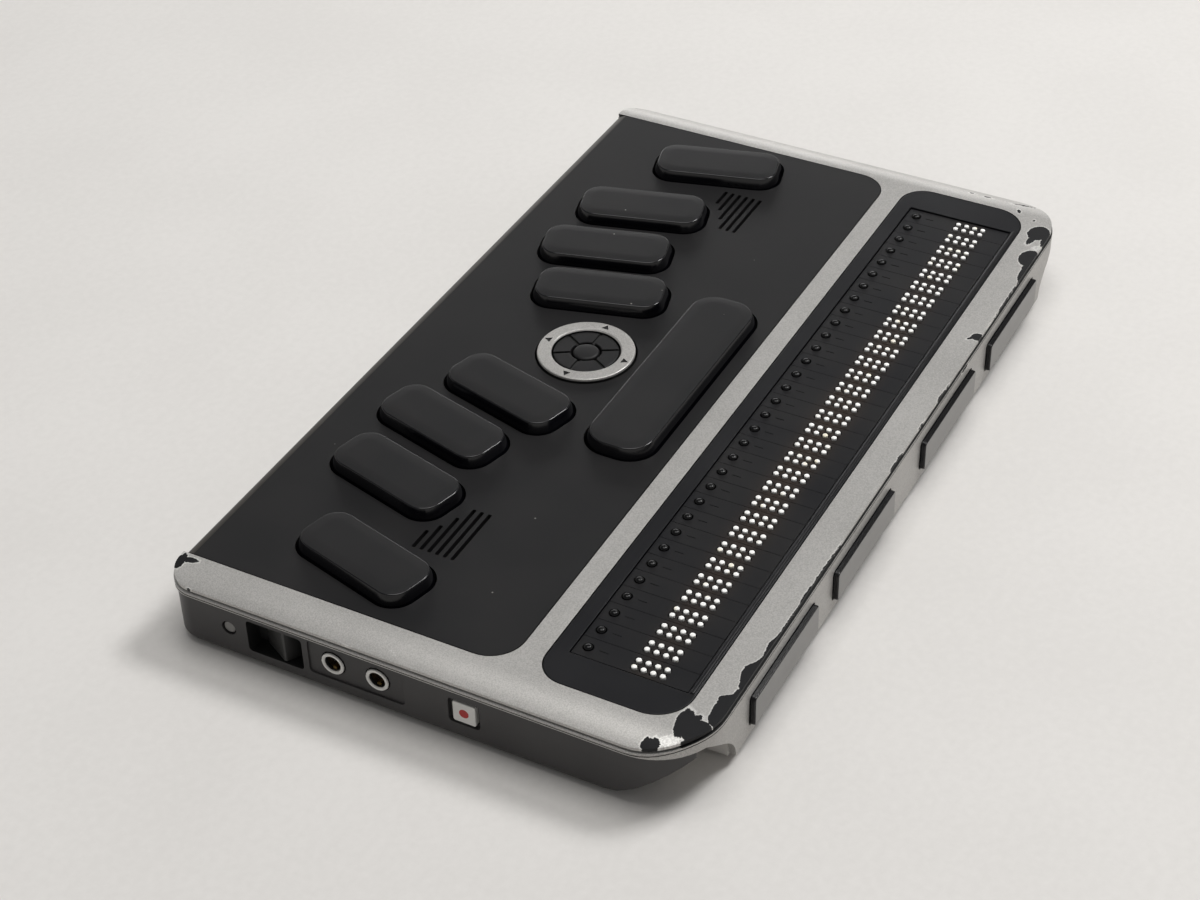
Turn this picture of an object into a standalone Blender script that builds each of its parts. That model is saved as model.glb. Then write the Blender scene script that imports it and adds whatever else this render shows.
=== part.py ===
"""Portable braille notetaker: a black tray, a silver rim and top frame, a braille keyboard and line.

World frame: +X to the user's right, +Y away from the user, +Z up.
The origin is at the middle of the case, on the surface that the feet stand on.
"""

import math

import bmesh
import bpy
from mathutils import Matrix

MM = 0.001

# Case
CASE_TOP = 20 * MM
CASE_BOTTOM = 1.0 * MM
FRONT_BAND = 8.7 * MM
MIDDLE_BAND = 6.55 * MM
SIDE_BAND = 9.4 * MM
FRONT_CORNER = 17 * MM
BACK_CORNER = 7 * MM
CROWN_WIDTH = 9 * MM
CROWN_DROP = 2.2 * MM
SEAT_GAP = 0.3 * MM
SMALL_CORNER = 1.0 * MM
OVERRUN = 3 * MM

# Black tray
TRAY_INSET = 0.5 * MM
TRAY_WALL = 2.0 * MM
TRAY_FLOOR = 2.0 * MM
TRAY_EDGE_ROUND = 1.5 * MM
TRAY_BELOW_TOP = 4.9 * MM
SCOOP_MARGIN = 6.9 * MM
SCOOP_LENGTH = 20.3 * MM
SCOOP_ANGLE = math.radians(35.3)
SCOOP_BEND = 20 * MM
WALL_BEHIND_RIM = 4.0 * MM

# Silver rim
RIM_THICKNESS = 1.7 * MM
RIM_LEDGE_WIDTH = 2.3 * MM
RIM_LEDGE_THICKNESS = 0.9 * MM
RIM_FRONT_BOTTOM = 2.6 * MM
RIM_SWEEP_MARGIN = 5.4 * MM
RIM_SWEEP_WIDTH = 14 * MM
RIM_BACK_DROP = 3.3 * MM

# Silver top frame
COVER_LIP = 0.8 * MM
COVER_LIP_WIDTH = 2.0 * MM
COVER_DECK_THICKNESS = 1.3 * MM

# Black keyboard panel
PANEL_THICKNESS = 1.8 * MM
PANEL_CORNER = 8.5 * MM
PANEL_BACK_ROUND = 3.0 * MM
PANEL_LIP_DEPTH = 2.3 * MM

# Black bezel round the braille line
BEZEL_SIDE = 10.2 * MM
BEZEL_FRONT_MARGIN = 2.1 * MM
BEZEL_BACK_MARGIN = 4.4 * MM
BEZEL_FRONT_CORNER = 9 * MM
BEZEL_BACK_CORNER = 7 * MM
RIDGE_WIDTH = 1.0 * MM
RIDGE_HEIGHT = 0.5 * MM

# Braille line
CELL_COUNT = 32
CELL_PITCH = 6.4 * MM
CELL_GROUPS = 4
CELLS_SUNK = 0.3 * MM
CAP_THICKNESS = 1.5 * MM
CAP_GROOVE = 0.3 * MM
DOT_SPACING = 2.4 * MM
DOT_ROWS = 4
DOT_FRONT_MARGIN = 7.2 * MM
DOT_RADIUS = 0.78 * MM
DOT_TIP_RADIUS = 0.5 * MM
DOT_HEIGHT = 0.7 * MM
DOT_SLACK = 0.2 * MM
DOT_SIDES = 5
DOT_TO_ROUTER = 12.3 * MM
ROUTER_MARGIN = 2.8 * MM
ROUTER_RADIUS = 1.1 * MM
ROUTER_TIP_RADIUS = 0.7 * MM
ROUTER_HEIGHT = 0.6 * MM
ROUTER_SIDES = 6
COMB_THICKNESS = 0.8 * MM
COMB_MARGIN = 1.7 * MM
COMB_WELL_DEPTH = 1.9 * MM
CELL_BLOCK_HEIGHT = 7.4 * MM

# Braille keys: the four of a hand stand side by side, splayed, and each is shifted along its length
KEY_LENGTH = 35.0 * MM
KEY_WIDTH = 14.8 * MM
KEY_CORNER = 5.0 * MM
KEY_RISE = 3.1 * MM
KEY_SPLAY = math.radians(15)
KEY_SKIRT = 1.05 * MM
KEY_FLANGE = 2.2 * MM
KEY_FLANGE_THICKNESS = 1.2 * MM
KEY_EDGE = 0.7 * MM
KEY_TRAVEL = 1.5 * MM
KEY_SLACK = 0.5 * MM
DECK_SLACK = 0.9 * MM
KEY_RING_GAP = 6.32 * MM
KEY_GAPS = (0, 6.04 * MM, 6.71 * MM, 11.69 * MM)
KEY_SHIFTS = (2.15 * MM, 3.22 * MM, -5.87 * MM, -17.04 * MM)
KEY_NAMES = {
    -1: ("key_dot_1", "key_dot_2", "key_dot_3", "key_backspace"),
    1: ("key_dot_4", "key_dot_5", "key_dot_6", "key_enter"),
}
KEY_SIDE_MARGIN = 8.3 * MM
KEY_BACK_MARGIN = 14.2 * MM

# Space bar
SPACE_LENGTH = 70.0 * MM
SPACE_WIDTH = 17.2 * MM
SPACE_CORNER = 6.5 * MM
SPACE_FRONT_MARGIN = 5.35 * MM
SPACE_RING_GAP = 3.95 * MM

# Arrow ring, scroll wheel and select button
RING_OUTER = 13.05 * MM
RING_RIM = 3.85 * MM
RING_RISE = 1.0 * MM
RING_EDGE = 0.4 * MM
RING_SLACK = 0.55 * MM
RING_FLANGE = 1.15 * MM
RING_FLANGE_GAP = 0.7 * MM
RING_FLANGE_THICKNESS = 1.0 * MM
RING_STEP_HEIGHT = 2.0 * MM
GIMBAL_WIDTH = 1.9 * MM
GIMBAL_THICKNESS = 1.4 * MM
GIMBAL_PIN = 0.4 * MM
WHEEL_GAP = 0.4 * MM
WHEEL_RIM = 4.7 * MM
WHEEL_RISE = 0.6 * MM
WHEEL_THICKNESS = 2.4 * MM
WHEEL_SLEEVE_THICKNESS = 0.9 * MM
WHEEL_SLEEVE_LENGTH = 3.7 * MM
WHEEL_GROOVE_COUNT = 6
WHEEL_GROOVE_WIDTH = 0.5 * MM
WHEEL_GROOVE_DEPTH = 0.4 * MM
ENCODER_WIDTH = 2.2 * MM
SELECT_GAP = 0.5 * MM
SELECT_RISE = 0.8 * MM
SELECT_FLANGE = 1.2 * MM
SELECT_FLANGE_THICKNESS = 1.0 * MM

# Thumb keys in the front face
THUMB_WIDTH = 35.6 * MM
THUMB_HEIGHT = 8.5 * MM
THUMB_TOP_GAP = 1.3 * MM
THUMB_CORNER = 0.9 * MM
THUMB_PROUD = 1.4 * MM
THUMB_FLANGE = 1.0 * MM
THUMB_FLANGE_THICKNESS = 1.2 * MM
THUMB_SLACK = 0.4 * MM
THUMB_TRAVEL = 1.2 * MM
THUMB_GAP = 11.4 * MM
THUMB_MIDDLE_GAP = 20 * MM
THUMB_SIDE_MARGIN = 29.4 * MM

# Speakers, behind slots between the outer keys
SLOT_WIDTH = 1.0 * MM
SLOT_PITCH = 2.15 * MM
SLOT_FRONT_MARGIN = 29.25 * MM
SLOT_KEY_GAP = 9.6 * MM
SLOT_LENGTHS = (18.5 * MM, 18.5 * MM, 18.5 * MM, 14.0 * MM, 9.8 * MM, 6.8 * MM)
SPEAKER_LENGTH = 20 * MM
SPEAKER_WIDTH = 11 * MM
SPEAKER_HEIGHT = 3.9 * MM
SPEAKER_CORNER = 2.0 * MM
SPEAKER_SHIFT = 0.8 * MM

# Left side controls, placed by their distance from the back
JACK_BODY = (10.5 * MM, 7.0 * MM, 7.0 * MM)
JACK_NOSE = 3.1 * MM
JACK_BORE = 1.8 * MM
JACK_BORE_DEPTH = 9 * MM
JACK_LIFT = 0.75 * MM
JACK_FROM_BACK = {"headphone_jack": 46.8 * MM, "microphone_jack": 58.9 * MM}
JACK_FIELD_MARGINS = (6.7 * MM, 7.3 * MM)
JACK_FIELD_HEIGHT = 10 * MM
JACK_FIELD_DEPTH = 0.5 * MM
SWITCH_FROM_BACK = 30.7 * MM
SWITCH_WELL = (15.5 * MM, 9.4 * MM)
SWITCH_WELL_DEPTH = 4.7 * MM
SWITCH_WELL_WALL = 1.2 * MM
SWITCH_ABOVE_FLOOR = 6.1 * MM
SWITCH_KNOB_LENGTH = 9.2 * MM
SWITCH_KNOB_BASE = 1.0 * MM
SWITCH_TRAVEL = 2.6 * MM
SWITCH_STEM = (2.4 * MM, 1.8 * MM)
SWITCH_STEM_REACH = 1.0 * MM
RECORD_FROM_BACK = 82.1 * MM
RECORD_FACE = 6.0 * MM
RECORD_CORNER = 0.5 * MM
RECORD_ABOVE_FLOOR = 6.2 * MM
RECORD_FIELD = (8.3 * MM, 7.4 * MM)
RECORD_FIELD_DEPTH = 1.2 * MM
RESET_FROM_BACK = 17.7 * MM
RESET_RADIUS = 1.7 * MM
RESET_ABOVE_FLOOR = 6.3 * MM
SIDE_BUTTON_FLANGE = 0.9 * MM
SIDE_BUTTON_TRAVEL = 0.6 * MM

# Boards
BOARD_THICKNESS = 1.6 * MM
KEY_BOARD_MARGIN = 5.1 * MM
KEY_BOARD_FRONT_MARGIN = 10.9 * MM
KEY_BOARD_BACK_MARGIN = 15.5 * MM
TACT_SIDE = 6 * MM
TACT_HEIGHT = 1.2 * MM
TACT_GAP = 0.4 * MM
MAIN_BOARD_LIFT = 0.9 * MM
MAIN_BOARD_SIDE_GAP = 2.5 * MM
MAIN_BOARD_FRONT_MARGIN = 1.95 * MM
MAIN_BOARD_BACK_GAP = 6.7 * MM
BACKPLANE_SIDE_MARGIN = 5.9 * MM
BACKPLANE_FRONT_MARGIN = 1.5 * MM
BACKPLANE_BACK_REACH = 2.0 * MM
THUMB_BOARD_MARGIN = 3.9 * MM
THUMB_BOARD_THICKNESS = 1.2 * MM
THUMB_BOARD_BELOW_TRAY = 0.5 * MM
POST_RADIUS = 3.0 * MM
POST_END_MARGIN = 14.4 * MM
POST_FRONT_MARGIN = 8.5 * MM
REST_SIDE_GAP = 9.5 * MM
REST_END_GAP = 8.0 * MM
BOARD_BOSS_RADIUS = 2.2 * MM
BOSS_BESIDE_KEY = (11.6 * MM, 12.6 * MM)
BOSS_BEHIND_RING = 24.5 * MM
BOSS_BESIDE_SPACE = 15.0 * MM
BOSS_FRONT_SHIFT = 3.9 * MM

# Battery, its door and its latch
BATTERY_LENGTH = 120 * MM
BATTERY_WIDTH = 44.4 * MM
BATTERY_FRONT_MARGIN = 0.65 * MM
BATTERY_HEADROOM = 0.5 * MM
DOOR_SIDE_REACH = 1.7 * MM
DOOR_FRONT_REACH = 2.3 * MM
DOOR_BACK_REACH = 4.7 * MM
DOOR_THICKNESS = 1.7 * MM
DOOR_TAB_SPACING = 80 * MM
DOOR_TAB_WIDTH = 10 * MM
DOOR_TAB_REACH = 2.4 * MM
DOOR_TAB_THICKNESS = 1.0 * MM
LATCH_WIDTH = 18 * MM
LATCH_LENGTH = 14.5 * MM
LATCH_HOLD = 3.2 * MM
LATCH_THICKNESS = 1.2 * MM
LATCH_KNOB = (12 * MM, 5 * MM)
LATCH_KNOB_OFFSET = 5.8 * MM
LATCH_TRAVEL = 4.0 * MM

# Feet and screws, placed by their distances from the sides, the front and the back
FOOT_RADIUS = 5.0 * MM
FOOT_SUNK = 0.8 * MM
FRONT_FOOT_INSET = (30 * MM, 27.3 * MM)
BACK_FOOT_INSET = (24 * MM, 8.7 * MM)
FRONT_SCREW_INSET = (11 * MM, 43.3 * MM)
BACK_SCREW_INSET = (11 * MM, 13.7 * MM)
SCREW_HEAD = 2.3 * MM
SCREW_HEAD_HEIGHT = 1.8 * MM
SCREW_SHANK = 1.1 * MM
SCREW_SUNK = 0.4 * MM
SCREW_POST = 3.8 * MM
SCREW_POST_BELOW_TRAY = 3.1 * MM
SCREW_BOSS = 2.8 * MM
SCREW_GRIP = 3.0 * MM

# Ports on the right side and the back
USB_HOST_FROM_BACK = 32.7 * MM
USB_HOST_SHELL = (14.0 * MM, 13.1 * MM, 5.7 * MM)
USB_HOST_WALL = 0.4 * MM
USB_HOST_END = 1.2 * MM
USB_HOST_TONGUE = (9.5 * MM, 11.0 * MM, 1.8 * MM)
CARD_FROM_BACK = 62.7 * MM
CARD_SHELL = (26 * MM, 28 * MM, 3.2 * MM)
CARD_MOUTH = (24.6 * MM, 2.4 * MM)
CARD_DEPTH = 24 * MM
INLET_FROM_SIDE = 26 * MM
INLET_SHELL = (9.0 * MM, 13.0 * MM, 7.2 * MM)
INLET_BORE = 2.75 * MM
INLET_PIN = 0.8 * MM
INLET_DEPTH = 9.5 * MM
INLET_PIN_SUNK = 1.0 * MM
USB_DEVICE_FROM_SIDE = 46 * MM
USB_DEVICE_SHELL = (7.7 * MM, 9.0 * MM, 3.9 * MM)
USB_DEVICE_WALL = 0.4 * MM
USB_DEVICE_DEPTH = 6 * MM
PORT_SUNK = 0.4 * MM

# Numbers of segments
CORNER_STEPS = 4
SHORT_CORNER_STEPS = 2
CASE_CORNER_STEPS = 8
CROWN_STEPS = 4
ROUND_STEPS = 24
MIDDLE_ROUND_STEPS = 16
SMALL_ROUND_STEPS = 12
POST_STEPS = 8
SHORT_ARC_STEPS = 3
MERGE = 0.00001
# Faces that meet at a smaller angle are shaded as one
SMOOTH_BELOW = math.radians(40)

# Keys, measured from the middle of the panel's front edge
RING_FROM_FRONT = SPACE_FRONT_MARGIN + SPACE_WIDTH + SPACE_RING_GAP + RING_OUTER


def key_offsets():
    """Centres of the right hand's keys, from the innermost to the outermost."""
    across = RING_OUTER + KEY_RING_GAP - KEY_WIDTH / 2
    along = 0
    centres = []
    for gap, shift in zip(KEY_GAPS, KEY_SHIFTS):
        across += gap + KEY_WIDTH
        along += shift
        x = across * math.cos(KEY_SPLAY) - along * math.sin(KEY_SPLAY)
        y = across * math.sin(KEY_SPLAY) + along * math.cos(KEY_SPLAY)
        centres.append((x, RING_FROM_FRONT + y))
    return centres


KEY_OFFSETS = key_offsets()
KEYS_HALF_SPAN = KEY_OFFSETS[-1][0] + KEY_WIDTH / 2
CELL_SPAN = CELL_COUNT * CELL_PITCH
THUMB_HALF_SPAN = THUMB_MIDDLE_GAP / 2 + THUMB_WIDTH * 2 + THUMB_GAP

# The case is as wide as the keys, the braille line or the thumb keys need, whichever needs most
KEYS_NEED = KEYS_HALF_SPAN + KEY_SIDE_MARGIN + SIDE_BAND
LINE_NEED = CELL_SPAN / 2 + BEZEL_SIDE + SIDE_BAND
THUMBS_NEED = THUMB_HALF_SPAN + THUMB_SIDE_MARGIN
HALF_WIDTH = max(KEYS_NEED, LINE_NEED, THUMBS_NEED)
PANEL_WIDTH = (HALF_WIDTH - SIDE_BAND) * 2
CROWN_FLAT = HALF_WIDTH - CROWN_WIDTH

# The case's depth is the sum of its bands, the braille line and the keyboard
CELL_DEPTH = DOT_FRONT_MARGIN + (DOT_ROWS - 1) * DOT_SPACING + DOT_TO_ROUTER + ROUTER_MARGIN
BEZEL_DEPTH = BEZEL_FRONT_MARGIN + CELL_DEPTH + BEZEL_BACK_MARGIN
PANEL_DEPTH = max(y for x, y in KEY_OFFSETS) + KEY_LENGTH / 2 + KEY_BACK_MARGIN
CASE_DEPTH = FRONT_BAND + BEZEL_DEPTH + MIDDLE_BAND + PANEL_DEPTH
CASE_FRONT = -(CASE_DEPTH + THUMB_PROUD) / 2 + THUMB_PROUD
CASE_BACK = CASE_FRONT + CASE_DEPTH
BEZEL_FRONT = CASE_FRONT + FRONT_BAND
BEZEL_BACK = BEZEL_FRONT + BEZEL_DEPTH
PANEL_FRONT = BEZEL_BACK + MIDDLE_BAND
CELLS_FRONT = BEZEL_FRONT + BEZEL_FRONT_MARGIN
CELLS_BACK = CELLS_FRONT + CELL_DEPTH
DOT_FRONT_ROW = CELLS_FRONT + DOT_FRONT_MARGIN
ROUTER_ROW = CELLS_BACK - ROUTER_MARGIN
SPACE_Y = PANEL_FRONT + SPACE_FRONT_MARGIN + SPACE_WIDTH / 2
RING_Y = PANEL_FRONT + RING_FROM_FRONT
KEY_PLACES = {
    name: (side * x, PANEL_FRONT + y)
    for side, names in KEY_NAMES.items()
    for name, (x, y) in zip(names, KEY_OFFSETS)
}
THUMB_INNER = (THUMB_MIDDLE_GAP + THUMB_WIDTH) / 2
THUMB_OUTER = THUMB_INNER + THUMB_WIDTH + THUMB_GAP
THUMB_PLACES = (-THUMB_OUTER, -THUMB_INNER, THUMB_INNER, THUMB_OUTER)
SLOT_FIRST_Y = PANEL_FRONT + SLOT_FRONT_MARGIN
SLOT_OUTER_END = KEY_OFFSETS[-1][0] - SLOT_KEY_GAP
SPEAKER_X = SLOT_OUTER_END - max(SLOT_LENGTHS) / 2
SPEAKER_Y = SLOT_FIRST_Y + SPEAKER_SHIFT
RIM_SWEEP_START = THUMB_HALF_SPAN + RIM_SWEEP_MARGIN
RIM_SWEEP_END = RIM_SWEEP_START + RIM_SWEEP_WIDTH
SCOOP_SIDE = THUMB_HALF_SPAN + SCOOP_MARGIN
SCOOP_START = CASE_FRONT + SCOOP_LENGTH
SIDE_WALL = HALF_WIDTH - TRAY_INSET
INNER_WALL = SIDE_WALL - TRAY_WALL
BACK_WALL = CASE_BACK - TRAY_INSET

# Levels, from the top down
PANEL_BOTTOM = CASE_TOP - PANEL_THICKNESS
DECK_TOP = PANEL_BOTTOM - SEAT_GAP
DECK_BOTTOM = DECK_TOP - COVER_DECK_THICKNESS
TRAY_TOP = CASE_TOP - TRAY_BELOW_TOP
RIM_TOP_OFFSET = COVER_LIP + SEAT_GAP
RIM_BAND_BOTTOM = TRAY_TOP + SEAT_GAP
RIM_BACK_TOP = CASE_TOP - RIM_BACK_DROP
KEY_FLANGE_TOP = DECK_BOTTOM - SEAT_GAP
KEY_BOARD_TOP = KEY_FLANGE_TOP - KEY_FLANGE_THICKNESS - KEY_TRAVEL - TACT_GAP - TACT_HEIGHT
KEY_BOARD_BOTTOM = KEY_BOARD_TOP - BOARD_THICKNESS
CAP_TOP = CASE_TOP - CELLS_SUNK
CAP_BOTTOM = CAP_TOP - CAP_THICKNESS
CELL_BLOCK_TOP = CAP_BOTTOM - SEAT_GAP
CELL_BLOCK_BOTTOM = CELL_BLOCK_TOP - CELL_BLOCK_HEIGHT
COMB_TOP = CELL_BLOCK_TOP - SEAT_GAP / 3
BACKPLANE_BOTTOM = CELL_BLOCK_BOTTOM - SEAT_GAP - BOARD_THICKNESS
SCREW_POST_TOP = TRAY_TOP - SCREW_POST_BELOW_TRAY
SCREW_TIP = SCREW_POST_TOP + SCREW_GRIP
THUMB_Z = RIM_BAND_BOTTOM - THUMB_TOP_GAP - THUMB_HEIGHT / 2
THUMB_BOARD_TOP = TRAY_TOP - THUMB_BOARD_BELOW_TRAY

# Arrow ring, from the outside in, and its levels
RING_INNER = RING_OUTER - RING_RIM
RING_FLANGE_TOP = DECK_BOTTOM - RING_FLANGE_GAP
RING_BOTTOM = RING_FLANGE_TOP - RING_FLANGE_THICKNESS
RING_STEP = RING_BOTTOM + RING_STEP_HEIGHT
WHEEL_RADIUS = RING_INNER - WHEEL_GAP
WHEEL_BORE = WHEEL_RADIUS - WHEEL_RIM
WHEEL_SLEEVE = WHEEL_BORE + WHEEL_SLEEVE_THICKNESS
WHEEL_TOP = CASE_TOP + WHEEL_RISE
WHEEL_BOTTOM = WHEEL_TOP - WHEEL_THICKNESS
WHEEL_SLEEVE_BOTTOM = WHEEL_BOTTOM - WHEEL_SLEEVE_LENGTH
SELECT_RADIUS = WHEEL_BORE - SELECT_GAP
ENCODER_INNER = WHEEL_SLEEVE + SEAT_GAP
ENCODER_OUTER = ENCODER_INNER + ENCODER_WIDTH
ENCODER_TOP = WHEEL_BOTTOM - SEAT_GAP
GIMBAL_INNER = ENCODER_OUTER + KEY_SLACK
GIMBAL_OUTER = GIMBAL_INNER + GIMBAL_WIDTH
GIMBAL_TOP = RING_BOTTOM + GIMBAL_THICKNESS
PIVOT_Z = RING_BOTTOM + GIMBAL_THICKNESS / 2

# Levels, from the floor up
FLOOR_TOP = CASE_BOTTOM + TRAY_FLOOR
MAIN_BOARD_BOTTOM = FLOOR_TOP + MAIN_BOARD_LIFT
MAIN_BOARD_TOP = MAIN_BOARD_BOTTOM + BOARD_THICKNESS
PORT_BOTTOM = MAIN_BOARD_TOP + SEAT_GAP
JACK_Z = MAIN_BOARD_TOP + JACK_LIFT + JACK_BODY[2] / 2
SWITCH_Z = FLOOR_TOP + SWITCH_ABOVE_FLOOR
RECORD_Z = FLOOR_TOP + RECORD_ABOVE_FLOOR
RESET_Z = FLOOR_TOP + RESET_ABOVE_FLOOR
DOOR_TOP = CASE_BOTTOM + DOOR_THICKNESS
BATTERY_BOTTOM = DOOR_TOP + SEAT_GAP
BATTERY_TOP = KEY_BOARD_BOTTOM - BATTERY_HEADROOM

# Places of what the case holds
JACK_PLACES = {name: CASE_BACK - distance for name, distance in JACK_FROM_BACK.items()}
SWITCH_Y = CASE_BACK - SWITCH_FROM_BACK
RECORD_Y = CASE_BACK - RECORD_FROM_BACK
RESET_Y = CASE_BACK - RESET_FROM_BACK
USB_HOST_Y = CASE_BACK - USB_HOST_FROM_BACK
CARD_Y = CASE_BACK - CARD_FROM_BACK
INLET_X = INLET_FROM_SIDE - HALF_WIDTH
USB_DEVICE_X = USB_DEVICE_FROM_SIDE - HALF_WIDTH
KEY_BOARD_SPAN = (
    -KEY_OFFSETS[-1][0] - KEY_BOARD_MARGIN,
    KEY_OFFSETS[-1][0] + KEY_BOARD_MARGIN,
    SPACE_Y - KEY_BOARD_FRONT_MARGIN,
    PANEL_FRONT + max(y for x, y in KEY_OFFSETS) + KEY_BOARD_BACK_MARGIN,
)
MAIN_BOARD_SPAN = (
    MAIN_BOARD_SIDE_GAP - INNER_WALL,
    INNER_WALL - MAIN_BOARD_SIDE_GAP,
    PANEL_FRONT - MAIN_BOARD_FRONT_MARGIN,
    CASE_BACK - MAIN_BOARD_BACK_GAP,
)
BACKPLANE_SPAN = (
    BACKPLANE_SIDE_MARGIN - CELL_SPAN / 2,
    CELL_SPAN / 2 - BACKPLANE_SIDE_MARGIN,
    CELLS_FRONT + BACKPLANE_FRONT_MARGIN,
    CELLS_BACK + BACKPLANE_BACK_REACH,
)
BATTERY_FRONT = PANEL_FRONT + BATTERY_FRONT_MARGIN
BATTERY_BACK = BATTERY_FRONT + BATTERY_WIDTH
DOOR_FRONT = BATTERY_FRONT - DOOR_FRONT_REACH
DOOR_BACK = BATTERY_BACK + DOOR_BACK_REACH
DOOR_HALF = BATTERY_LENGTH / 2 + DOOR_SIDE_REACH
DOOR_SPAN = (-DOOR_HALF, DOOR_HALF, DOOR_FRONT, DOOR_BACK)
LATCH_SPAN = (DOOR_BACK - LATCH_HOLD, DOOR_BACK - LATCH_HOLD + LATCH_LENGTH)
LATCH_KNOB_Y = DOOR_BACK + LATCH_KNOB_OFFSET
POST_X = CELL_SPAN / 2 - POST_END_MARGIN
POST_ROWS = (CELLS_FRONT + POST_FRONT_MARGIN, CELLS_BACK - POST_RADIUS)
BACKPLANE_POSTS = [(x, y) for x in (-POST_X, 0, POST_X) for y in POST_ROWS]
REST_X = INNER_WALL - REST_SIDE_GAP
REST_ROWS = (MAIN_BOARD_SPAN[2] + REST_END_GAP, MAIN_BOARD_SPAN[3] - REST_END_GAP - SCREW_POST * 3)
BOARD_RESTS = [(x, y) for x in (-REST_X, REST_X) for y in REST_ROWS]
BESIDE_KEY_X = KEY_OFFSETS[2][0] + BOSS_BESIDE_KEY[0]
BESIDE_KEY_Y = PANEL_FRONT + KEY_OFFSETS[2][1] + BOSS_BESIDE_KEY[1]
FRONT_BOSS_XS = (SPACE_LENGTH / 2 + BOSS_BESIDE_SPACE, KEY_OFFSETS[-1][0])
BOARD_BOSSES = [(0, RING_Y + BOSS_BEHIND_RING), (BESIDE_KEY_X, BESIDE_KEY_Y), (-BESIDE_KEY_X, BESIDE_KEY_Y)]
BOARD_BOSSES += [(side * x, SPACE_Y - BOSS_FRONT_SHIFT) for x in FRONT_BOSS_XS for side in (-1, 1)]


def corner_places(kind, front_inset, back_inset):
    """A named place near each corner of the case."""
    places = {}
    for side, hand in ((-1, "left"), (1, "right")):
        places[f"front_{hand}_{kind}"] = (side * (HALF_WIDTH - front_inset[0]), CASE_FRONT + front_inset[1])
        places[f"back_{hand}_{kind}"] = (side * (HALF_WIDTH - back_inset[0]), CASE_BACK - back_inset[1])
    return places


FOOT_PLACES = corner_places("foot", FRONT_FOOT_INSET, BACK_FOOT_INSET)
SCREW_PLACES = corner_places("screw", FRONT_SCREW_INSET, BACK_SCREW_INSET)


def clear_scene():
    for thing in list(bpy.data.objects):
        bpy.data.objects.remove(thing, do_unlink=True)


def collection(name):
    group = bpy.data.collections.new(name)
    bpy.context.scene.collection.children.link(group)
    return group


def finish(name, colour, roughness, metallic=0.0):
    surface = bpy.data.materials.new(name)
    surface.use_nodes = True
    shader = surface.node_tree.nodes["Principled BSDF"]
    shader.inputs["Base Color"].default_value = (*colour, 1.0)
    shader.inputs["Roughness"].default_value = roughness
    shader.inputs["Metallic"].default_value = metallic
    return surface


clear_scene()
PARTS = collection("braille_notetaker")
CUTTERS = collection("cutters")

SILVER_PAINT = finish("silver_paint", (0.47, 0.46, 0.43), 0.38, 0.35)
SOFT_BLACK = finish("soft_black", (0.028, 0.028, 0.030), 0.55)
GLOSS_BLACK = finish("gloss_black", (0.012, 0.012, 0.014), 0.22)
TRAY_BLACK = finish("tray_black", (0.040, 0.040, 0.043), 0.45)
DOT_WHITE = finish("dot_white", (0.86, 0.85, 0.80), 0.35)
THUMB_GREY = finish("thumb_grey", (0.20, 0.195, 0.19), 0.25)
RECORD_WHITE = finish("record_white", (0.80, 0.79, 0.76), 0.4)
BOARD_GREEN = finish("board_green", (0.03, 0.16, 0.07), 0.5)
METAL = finish("bright_metal", (0.72, 0.71, 0.68), 0.3, 1.0)
SOFT_RUBBER = finish("foot_rubber", (0.03, 0.03, 0.03), 0.8)
BATTERY_GREY = finish("battery_wrap", (0.10, 0.11, 0.13), 0.5)


def adopt(thing, group, surface):
    """Puts an object in its collection, and hides it if it is a cutter."""
    for owner in list(thing.users_collection):
        owner.objects.unlink(thing)
    group.objects.link(thing)
    if surface:
        thing.data.materials.clear()
        thing.data.materials.append(surface)
    if group is CUTTERS:
        thing.hide_render = True
        thing.display_type = "WIRE"
    return thing


def from_bmesh(name, form, surface=None, place=Matrix.Identity(4)):
    bmesh.ops.recalc_face_normals(form, faces=form.faces)
    mesh = bpy.data.meshes.new(name)
    form.to_mesh(mesh)
    form.free()
    if surface:
        mesh.shade_smooth()
        mesh.set_sharp_from_angle(angle=SMOOTH_BELOW)
    thing = bpy.data.objects.new(name, mesh)
    thing.matrix_world = place
    return adopt(thing, PARTS if surface else CUTTERS, surface)


def combine(target, other, operation):
    change = target.modifiers.new(other.name, "BOOLEAN")
    change.operation = operation
    change.solver = "EXACT"
    change.object = other
    return target


def cut(target, *cutters):
    for cutter in cutters:
        combine(target, cutter, "DIFFERENCE")
    return target


def join(target, *others):
    for other in others:
        combine(target, other, "UNION")
    return target


def keep(target, *limits):
    for limit in limits:
        combine(target, limit, "INTERSECT")
    return target


def arc(centre, radius, start, end, steps):
    """Points on an arc, from the angle start to the angle end."""
    sweep = [start + (end - start) * i / steps for i in range(steps + 1)]
    return [(centre[0] + radius * math.cos(a), centre[1] + radius * math.sin(a)) for a in sweep]


def rounded(x_low, x_high, y_low, y_high, radii, steps=CORNER_STEPS):
    """A rectangle with its corners rounded: front left, front right, back right, back left."""
    points = []
    corners = ((x_low, y_low, 1, 1), (x_high, y_low, -1, 1), (x_high, y_high, -1, -1), (x_low, y_high, 1, -1))
    for quarter, ((x, y, sx, sy), radius) in enumerate(zip(corners, radii)):
        if radius > 0:
            start = math.pi + quarter * math.pi / 2
            points += arc((x + sx * radius, y + sy * radius), radius, start, start + math.pi / 2, steps)
        else:
            points.append((x, y))
    return points


def pill(length_x, length_y, radius, grow=0, steps=CORNER_STEPS):
    """A rounded rectangle about the origin, grown outwards all round."""
    half_x = length_x / 2 + grow
    half_y = length_y / 2 + grow
    return rounded(-half_x, half_x, -half_y, half_y, (radius + grow,) * 4, steps)


def circle(radius, sides=SMALL_ROUND_STEPS, centre=(0, 0)):
    return arc(centre, radius, 0, 2 * math.pi * (sides - 1) / sides, sides - 1)


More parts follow.
